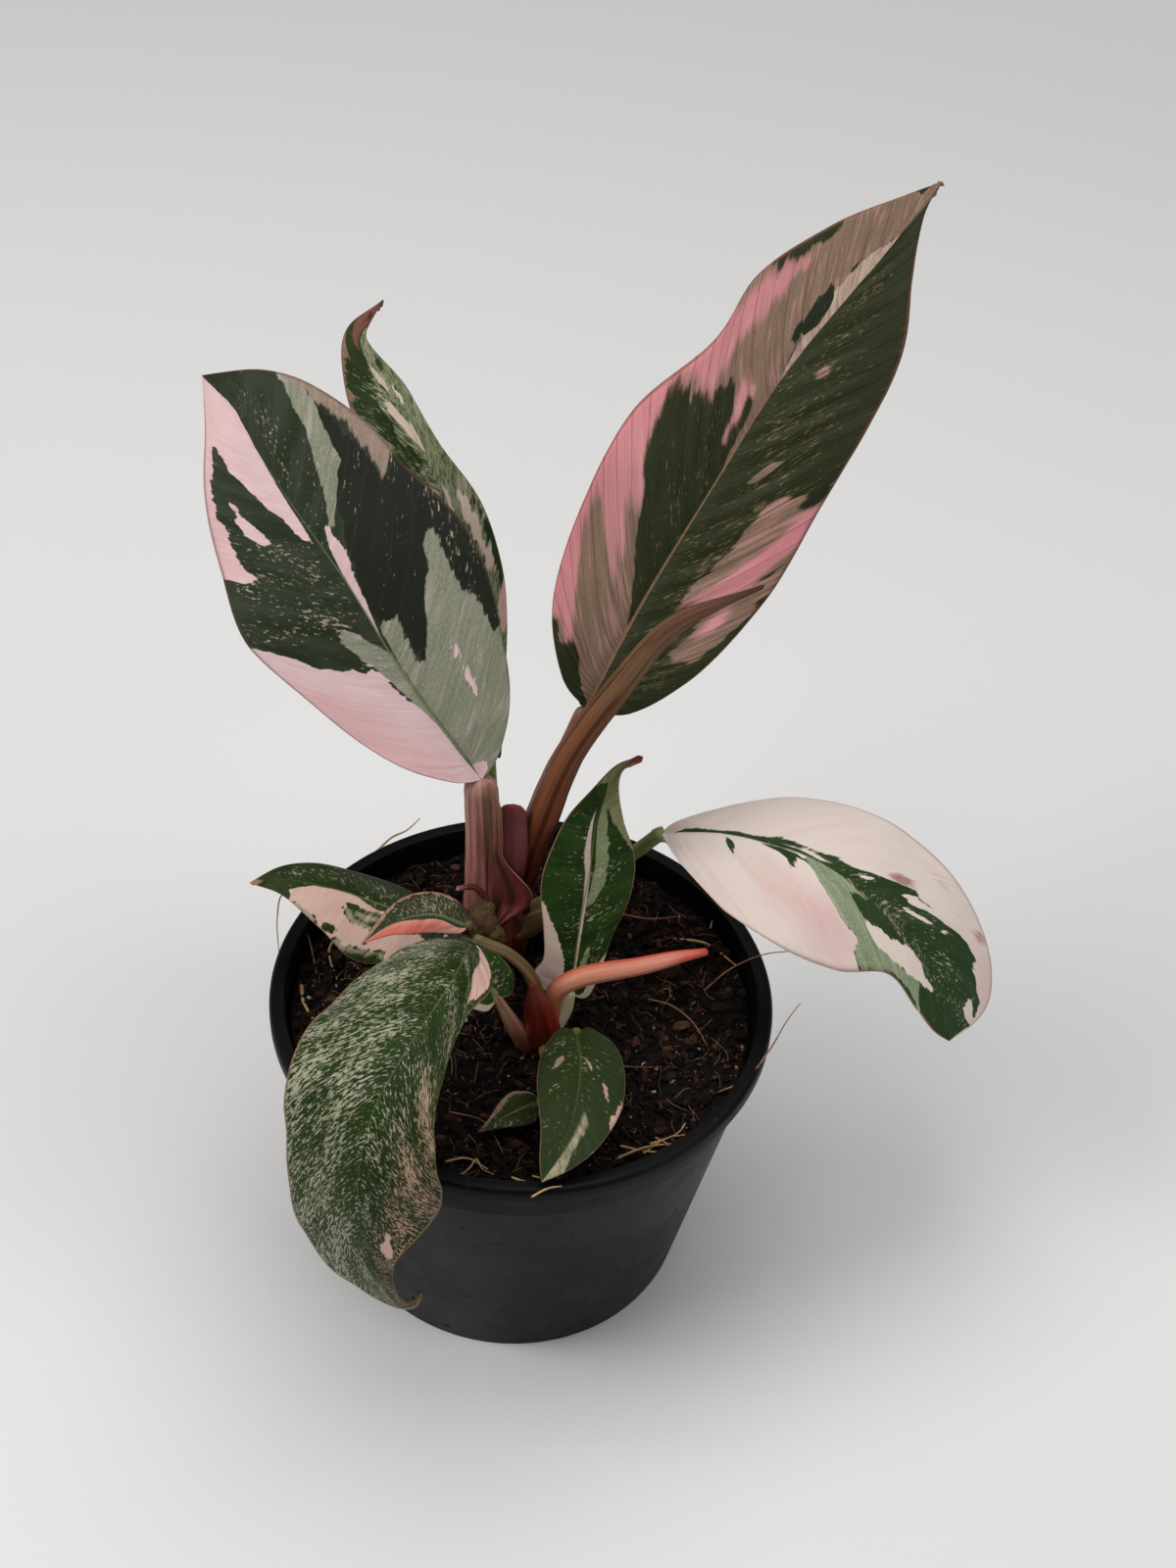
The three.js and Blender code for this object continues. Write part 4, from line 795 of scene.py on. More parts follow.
sideLeaf = {
    "piece": "sideLeafBlade", "node": "leaf_side_blade", "slot": "blade_green",
    "rib": [(-19, 7.6, 94.5), (-32, 8, 100), (-46, 10, 103), (-58, 13, 102), (-67, 15, 98)],
    "face": [(0, -0.3, 0.95), (0, -0.3, 0.95), (0, -0.3, 0.95)],
    "left": {
        "margin": [(-1, 5), (8, 12), (19, 14.4), (29, 10), (40, 4.4)], "lift": [-10, -10, 0],
        "bend": [-20, -20, 0], "wave": (0.8, 2, 0),},
    "right": {
        "margin": [(-1, 5), (8, 10), (20, 11.3), (32, 9.4), (43, 4.6)], "lift": [-25, -25, -10],
        "bend": [-20, -20, 0],}, "ribRadius": 1, "grid": (96, 44),
    "relief": {"pleatHeight": 0.1, "pleats": 10, "driftHeight": 0.5},
    "patches": [
        ("pale", [
            (0.83, -0.6), (0.81, -0.3), (0.77, -0.06), (0.70, 0.0), (0.64, 0.02), (0.60, -0.06),
            (0.55, -0.14), (0.5, -0.1), (0.45, -0.1), (0.40, -0.3), (0.3, -0.4), (0.1, -0.5), (0.0, -0.5),
            (-0.1, -1.2), (0.80, -1.2)]),
        ("mint", [(0.65, -0.35), (0.6, -0.52), (0.5, -0.48), (0.46, -0.3), (0.53, -0.14), (0.58, -0.2)]),
        ("mint", [(0.80, -1.2), (0.79, -0.9), (0.74, -0.84), (0.70, -0.88), (0.66, -1.2)]),
        ("green", [(0.65, -0.22), (0.625, -0.3), (0.56, -0.3), (0.49, -0.22), (0.52, -0.17), (0.58, -0.2)]),
        ("green", [
            (0.61, -0.37), (0.59, -0.44), (0.53, -0.44), (0.47, -0.34), (0.49, -0.3), (0.55, -0.34)]),
        ("green", [
            (0.67, -0.92), (0.665, -0.8), (0.635, -0.72), (0.61, -0.78), (0.62, -0.9), (0.645, -0.98)]),
        ("mint", [(0.62, -1.2), (0.6, -0.9), (0.54, -0.84), (0.48, -0.78), (0.42, -0.74), (0.38, -1.2)]),
        ("green", [(0.6, -1.2), (0.585, -0.97), (0.52, -0.9), (0.45, -0.84), (0.38, -0.95), (0.38, -1.2)]),],
    "fleck": [(0.45, 6, [(0.2, 0.1), (0.9, 0.1), (0.9, 0.9), (0.2, 0.9)])],
    "brown": [(0.8, 4, [(0.95, -1.2), (1.1, -1.2), (1.1, 1.2), (0.95, 1.2)])],
    "paint": {
        **greens, "seed": 61.0, "green": tone(32, 46, 14), "greenTwo": tone(44, 60, 26),
        "mint": tone(132, 136, 104), "mintTwo": tone(168, 160, 134), "soft": {"mint": 0.5, "pale": 0.2},
        "pale": tone(208, 180, 164), "blush": tone(206, 160, 146), "fingers": 5.0,
        "brown": tone(146, 112, 86), "brownTwo": tone(172, 138, 110), "rimTone": tone(128, 96, 72)},}

innerLeaf = {
    "piece": "innerLeafBlade", "node": "leaf_inner_blade", "slot": "blade_green",
    "rib": [
        (11.5, -1, 84.5), (12.5, 5, 100), (14, 10, 115), (15, 15, 128), (19, 20, 138), (24, 21, 141.5)],
    "face": [(0.1, -0.8, 0.5), (0.1, -0.8, 0.5), (0.1, -0.8, 0.5)],
    "left": {
        "margin": [(-1, 4), (4, 9.4), (9, 7.6), (16, 8.4), (29, 11), (41, 8.8), (54, 2.6)],
        "lift": [10, 14, 14], "bend": [-20, -20, 0],},
    "right": {
        "margin": [(0, 4.3), (8, 6.6), (16, 7.8), (26, 10.2), (36, 10.2), (45, 7), (57, 1.2)],
        "lift": [10, 14, 14], "bend": [-20, -20, 0],}, "ribRadius": 1, "grid": (96, 44),
    "relief": {"pleatHeight": 0.1, "pleats": 10, "driftHeight": 0.4},
    "patches": [
        ("pale", [
            (0.57, -1.2), (0.575, -0.94), (0.55, -0.84), (0.51, -0.72), (0.46, -0.56), (0.41, -0.4),
            (0.33, -0.28), (0.25, -0.25), (0, -0.2), (-0.1, -1.2)]),
        ("pale", [(0.32, 0.96), (0.29, 0.8), (0.2, 0.66), (0, 0.5), (-0.1, 1.2), (0.31, 1.2)]),
        ("mint", [
            (0.9, 0.3), (0.86, 0.1), (0.80, 0.08), (0.74, 0.1), (0.68, 0.12), (0.62, 0.08), (0.56, 0.06),
            (0.57, 0.24), (0.62, 0.36), (0.69, 0.42), (0.74, 0.46), (0.82, 0.5)]),
        ("dusk", [
            (0.9, -0.3), (0.88, -0.8), (0.86, -1.2), (1.1, -1.2), (1.1, 1.2), (0.66, 1.2), (0.68, 0.92),
            (0.74, 0.84), (0.80, 0.6), (0.84, 0.3), (0.88, 0.0)]),
        ("mint", [(0.35, 0.12), (0.42, 0.3), (0.38, 0.42), (0.3, 0.34), (0.2, 0.3), (0.2, 0.1)]),
        ("pale", [
            (0.84, -0.2), (0.78, -0.2), (0.72, -0.2), (0.66, -0.09), (0.58, -0.03), (0.45, 0.01),
            (0.3, 0.01), (0.12, 0.01), (0.12, 0.05), (0.3, 0.07), (0.45, 0.065), (0.58, 0.05), (0.66, 0.02),
            (0.72, -0.04), (0.78, -0.08)]),],
    "fleck": [(0.3, 6, [(0.3, -0.9), (0.8, -0.9), (0.8, 0.9), (0.3, 0.9)])],
    "brown": [(0.8, 3, [(0.96, -1.3), (1.1, -1.3), (1.1, 1.3), (0.96, 1.3)])],
    "paint": {
        **greens, "seed": 67.0, "green": tone(24, 44, 8), "greenTwo": tone(40, 66, 20),
        "pale": tone(210, 190, 174), "blush": tone(204, 176, 162), "dusk": tone(104, 114, 72),
        "duskTwo": tone(132, 130, 92), "mint": tone(112, 126, 84), "mintTwo": tone(126, 136, 100),
        "fingers": 3.0, "brown": tone(128, 52, 42), "brownTwo": tone(150, 74, 62),
        "rimTone": tone(160, 110, 96)},}

youngLeaf = {
    "piece": "youngLeafBlade", "node": "leaf_young_blade", "slot": "blade_green",
    "rib": [(-12.5, -9, 113.5), (-21, -10, 117.5), (-29, -14, 118), (-35.5, -18, 115)],
    "face": [(0, -0.5, 0.9), (0, -0.5, 0.9), (0, -0.5, 0.9)],
    "left": {
        "margin": [(2, 2.5), (8, 4.2), (15, 4), (21, 2)], "lift": [-10, -10, -10], "bend": [-20, -20, 0],},
    "right": {
        "margin": [(1, 3.5), (6, 6), (13, 6), (20, 3)], "lift": [-10, -10, -10], "bend": [-20, -20, 0],},
    "ribRadius": 0.9, "grid": (72, 40), "relief": {"pleatHeight": 0.08, "pleats": 8, "driftHeight": 0.3},
    "patches": [
        ("pale", [
            (-0.1, -0.3), (0.3, -0.34), (0.45, -0.2), (0.6, -0.3), (0.8, -0.1), (1.1, 0.0), (1.1, -1.2),
            (-0.1, -1.2)]),
        ("dusk", [(0.3, 0.92), (0.7, 0.88), (0.9, 0.6), (1.1, 0.3), (1.1, 1.2), (0.2, 1.2)]),],
    "fleck": [(0.55, 3, [(0.0, -0.3), (1, -0.1), (1, 1), (0.0, 1)])],
    "brown": [(0.8, 1.6, [(0.1, -1.0), (1.1, -0.86), (1.1, -1.3), (0.1, -1.3)])],
    "rose": [(0.9, 2.5, [(0.35, -0.5), (0.7, -0.35), (1.1, -0.1), (1.1, -1.2), (0.6, -1.2)])],
    "paint": {
        **greens, "seed": 71.0, "green": tone(36, 42, 20), "greenTwo": tone(50, 54, 30),
        "pale": tone(206, 156, 140), "blush": tone(200, 124, 106), "dusk": tone(138, 92, 80),
        "rose": tone(200, 92, 76), "fleck": tone(146, 138, 112), "rimShow": 0.9, "fingers": 2.6,
        "fray": 1.6, "brown": tone(176, 66, 52), "brownTwo": tone(206, 104, 86),
        "rimTone": tone(150, 60, 50), "speckSize": 0.6},}

lowLeaf = {
    "piece": "lowLeafBlade", "node": "leaf_low_blade", "slot": "blade_green",
    "rib": [(-5.5, -10, 91), (-9, -6.5, 93), (-14, -1.5, 94), (-18, 3, 92)],
    "face": [(0, -0.4, 0.9), (0, -0.4, 0.9), (0, -0.4, 0.9)],
    "left": {"margin": [(-1, 4), (4, 7), (10, 6.5), (15, 3)], "lift": [0, 0, 0], "bend": [-20, -20, 0],},
    "right": {"margin": [(-1, 4), (4, 7), (10, 6.5), (15, 3)], "lift": [0, 0, 0], "bend": [-20, -20, 0],},
    "ribRadius": 0.9, "grid": (72, 40), "relief": {"pleatHeight": 0.08, "pleats": 8, "driftHeight": 0.3},
    "patches": [
        ("pale", [(-0.1, -0.5), (0.2, -0.6), (0.5, -0.7), (0.5, -1.2), (-0.1, -1.2)]),
        ("pale", [(0.5, -0.4), (0.7, -0.5), (1.1, -0.6), (1.1, -1.2), (0.5, -1.2)]),
        ("mint", [(0.05, 0.05), (0.3, 0.2), (0.4, 0.1), (0.3, -0.1), (0.05, -0.3)]),],
    "fleck": [(0.3, 3, [(0, -1), (1, -1), (1, 1), (0, 1)])],
    "paint": {
        **greens, "seed": 73.0, "green": tone(44, 72, 14), "greenTwo": tone(40, 62, 16),
        "pale": tone(200, 186, 156), "fingers": 2.6, "rimTone": tone(180, 168, 130)},}

frontLeaf = {
    "piece": "frontLeafBlade", "node": "leaf_front_blade", "slot": "blade_green",
    "rib": [(13.6, -17, 89), (15, -31, 92), (13.4, -47, 91), (8.2, -58.5, 86.5)],
    "face": [(0.1, -0.2, 1), (0.1, -0.3, 1), (0.1, -0.5, 0.9)],
    "left": {
        "margin": [(-1, 3.5), (4.5, 8.2), (13, 10.3), (22, 10.4), (31, 7.8), (39, 3.8)], "lift": [8, 5, 5],
        "bend": [-20, -20, 0],},
    "right": {
        "margin": [(0, 4), (6, 7.8), (14, 9.6), (22, 9.2), (31, 6.8), (39, 3.4)], "lift": [8, 5, 5],
        "bend": [-20, -20, 0],}, "ribRadius": 1, "grid": (96, 44),
    "relief": {"pleatHeight": 0.08, "pleats": 9, "driftHeight": 0.4},
    "patches": [
        ("dusk", [(0.43, 0.42), (0.44, 0.55), (0.49, 0.66), (0.49, 0.56), (0.46, 0.4)]),
        ("pale", [(0.455, -0.05), (0.48, -0.13), (0.53, -0.24), (0.51, -0.24), (0.47, -0.15)]),
        ("pale", [(0.545, -0.48), (0.555, -0.62), (0.61, -0.74), (0.60, -0.62), (0.57, -0.5)]),
        ("pale", [(0.55, -0.95), (0.56, -1.2), (0.68, -1.2), (0.66, -0.9), (0.6, -0.9)]),
        ("mint", [
            (0.71, -0.3), (0.725, -0.46), (0.78, -0.5), (0.84, -0.64), (0.87, -0.86), (0.88, -1.2),
            (1.1, -1.2), (1.0, -0.4), (0.93, -0.34), (0.88, -0.28), (0.82, -0.26), (0.76, -0.26)]),
        ("pale", [(0.76, -0.5), (0.775, -0.56), (0.81, -0.56), (0.80, -0.5)]),],
    "fleck": [(0.2, 6, [(0.1, -0.9), (0.9, -0.9), (0.9, 0.9), (0.1, 0.9)])],
    "paint": {
        **greens, "seed": 79.0, "green": tone(40, 52, 14), "greenTwo": tone(38, 50, 26),
        "dusk": tone(140, 124, 92), "pale": tone(190, 160, 138), "blush": tone(184, 138, 124),
        "mint": tone(120, 122, 92), "mintTwo": tone(170, 158, 134), "mottle": 0.5, "soft": {"mint": 0.8},
        "fingers": 3.0, "rimTone": tone(160, 126, 112), "rimShow": 0.45, "ribTone": tone(78, 96, 44),
        "ribShow": 0.45},}

groundLeaf = {
    "piece": "groundLeafBlade", "node": "leaf_ground_blade", "slot": "blade_green",
    "rib": [(6, -31, 80.4), (1.5, -35.2, 81.8), (-3, -38.8, 81.8), (-7, -41, 79.8)],
    "face": [(0, -0.3, 1), (0, -0.3, 1), (0, -0.3, 1)],
    "left": {
        "margin": [(1, 2.5), (5, 4.4), (9, 3.6), (13, 1.6)], "lift": [10, 10, 0], "bend": [-10, -10, 0],},
    "right": {
        "margin": [(1, 2.5), (5, 4.4), (9, 3.6), (13, 1.6)], "lift": [10, 10, 0], "bend": [-10, -10, 0],},
    "ribRadius": 0.8, "grid": (60, 36), "relief": {"pleatHeight": 0.08, "pleats": 7, "driftHeight": 0.3},
    "patches": [("dusk", [(0.0, 0.75), (0.5, 0.8), (1.0, 0.5), (1.0, 1.2), (0.0, 1.2)])],
    "fleck": [(0.3, 3, [(0, -1), (1, -1), (1, 1), (0, 1)])],
    "paint": {
        **greens, "seed": 83.0, "green": tone(44, 54, 16), "greenTwo": tone(52, 60, 24),
        "dusk": tone(128, 96, 70), "fingers": 2.0, "fray": 1.4},}

for leaf in (leftLeaf, tallLeaf, backLeaf, paleLeaf, speckledLeaf, sideLeaf, innerLeaf, youngLeaf,
             lowLeaf, frontLeaf,
             groundLeaf):
    makeBlade(leaf)


# Stalks, stems and sheaths: a sheet rolled into a tube round a spline, with a round end on each side

stalkBuild = {
    "rootRun": 4.0,
    "tipRun": 1.6,
    "wobble": 0.035,
}


def rollTube(bm, spine, radiusAt, grid, flat=1.0, roll=0.0, seam=0.0, ridges=(0, 0.0), runs=(0.0, 0.0)):
    columns, rows = grid
    made = bmesh.ops.create_grid(bm, x_segments=columns, y_segments=rows, size=1)["verts"]
    uvLayer = bm.loops.layers.uv.get("skin") or bm.loops.layers.uv.new("skin")
    spots = {vert: ((vert.co.x + 1) / 2, (vert.co.y + 1) / 2) for vert in made}
    for face in {face for vert in made for face in vert.link_faces}:
        for loop in face.loops:
            loop[uvLayer].uv = spots[loop.vert]
    whole = spine.length + sum(runs)
    startRadius, endRadius = radiusAt(0.0), radiusAt(1.0)
    for vert, (corner, along) in spots.items():
        reach = along * whole
        share = min(max((reach - runs[0]) / spine.length, 0.0), 1.0)
        tangent = spine.tangent(share)
        centre = spine.point(share) + tangent * (reach - runs[0] - share * spine.length)
        front = Vector((0, -1, 0))
        front = (front - tangent * front.dot(tangent)).normalized()
        side = tangent.cross(front)
        radius = radiusAt(share)
        for gap, end in ((reach, startRadius), (whole - reach, endRadius)):
            if gap < end:
                radius *= math.sqrt(max(0.0, 1 - (1 - gap / end) ** 2))
        turned = 0.0 if corner > 0.9999 else corner
        radius *= 1 + roll * (turned - 0.5)
        radius *= 1 + ridges[1] * math.cos(ridges[0] * 2 * math.pi * turned)
        turn = -(turned + seam) * 2 * math.pi
        spot = centre + side * (radius * math.cos(turn)) + front * (radius * flat * math.sin(turn))
        spot += (spot - centre) * noise.noise(spot * 0.13) * stalkBuild["wobble"]
        vert.co = spot * mm
    return made


def stalkLook(stalk, length):
    paint = stalk["paint"]
    look = Look(stalk["piece"] + "Skin", Specular_IOR_Level=0.22)
    corner, along = look.uv("skin")
    angle = corner * (2 * math.pi)
    reach = along * length
    seed = paint.get("seed", 0.0)
    streaks = look.noise(look.vector(angle.cosine() * 2.2, angle.sine() * 2.2, reach * 0.03 + seed),
                         1.0, 3.0, 0.6)
    fine = look.noise(look.vector(angle.cosine() * 9, angle.sine() * 9, reach * 0.16 + seed), 1.0, 3.0, 0.65)
    spots = look.noise(look.vector(angle.cosine() * 3, angle.sine() * 3, reach * 0.9 + seed), 1.0, 4.0, 0.7)
    colour = look.stops(along, paint["along"])
    colour = look.mix(streaks.ramp(0.46, 0.62) * paint.get("streakShow", 0.7), colour, paint["streak"])
    colour = look.mix(fine.ramp(0.5, 0.75) * paint.get("fineShow", 0.4), colour, paint["fine"])
    colour = look.mix(spots.ramp(0.62, 0.72) * paint.get("spotShow", 0.3), colour,
                      paint.get("spot", paint["streak"]))
    for strip in paint.get("strips", []):
        place = (corner - strip["corner"]).size()
        inside = place.ramp(strip["width"] * 0.5, strip["width"], 1.0, 0.0)
        start, end = strip.get("span", (0.0, 1.0))
        inside = inside * along.ramp(start - 0.05, start + 0.03) * along.ramp(end - 0.03, end + 0.05, 1.0,
                                                                              0.0)
        colour = look.mix(inside * strip.get("show", 0.8), colour, strip["colour"])
    rough = fine.ramp(0.3, 0.7, paint.get("rough", 0.4), paint.get("rough", 0.4) + 0.14)
    return look.finish(colour, rough, fine * 0.6 + spots * 0.4, paint.get("depth", 0.00022))


def makeStalk(stalk):
    spine = Spline(stalk["path"])
    radii = [(radius, radius) for radius in stalk["radii"]]
    bm = bmesh.new()
    runs = stalk.get("runs", (stalkBuild["rootRun"], stalkBuild["tipRun"]))
    rollTube(bm, spine, lambda share: edgeAt(radii, share)[0], stalk.get("grid", (44, 60)),
             stalk.get("flat", 1.0),
             stalk.get("roll", 0.0), stalk.get("seam", 0.0), stalk.get("ridges", (11, 0.012)), runs)
    bmesh.ops.remove_doubles(bm, verts=bm.verts, dist=0.008 * mm)
    bmesh.ops.recalc_face_normals(bm, faces=bm.faces)
    look = stalkLook(stalk, spine.length + sum(runs))
    return makePiece(stalk["piece"], bm, [look], [stalk["node"]] if "node" in stalk else [])


pinkSkin = {
    "along": [(0.0, tone(126, 62, 50)), (0.25, tone(160, 92, 88)), (0.6, tone(176, 116, 112)),
              (1.0, tone(176, 128, 120))],
    "streak": tone(126, 86, 64), "fine": tone(194, 148, 138), "spot": tone(124, 78, 58),
}
brownSkin = {
    "along": [(0.0, tone(96, 36, 24)), (0.3, tone(104, 50, 34)), (0.6, tone(112, 76, 54)),
              (1.0, tone(126, 96, 72))],
    "streak": tone(88, 54, 36), "fine": tone(140, 104, 80), "spot": tone(80, 38, 26),
}
greenSkin = {
    "along": [(0.0, tone(132, 84, 62)), (0.3, tone(128, 116, 70)), (1.0, tone(126, 142, 78))],
    "streak": tone(112, 104, 62), "fine": tone(164, 170, 112), "spot": tone(120, 90, 60),
}
redSkin = {
    "along": [(0.0, tone(92, 32, 22)), (0.5, tone(118, 36, 22)), (1.0, tone(104, 42, 28))],
    "streak": tone(84, 22, 16), "fine": tone(150, 68, 48), "spot": tone(72, 26, 18),
}

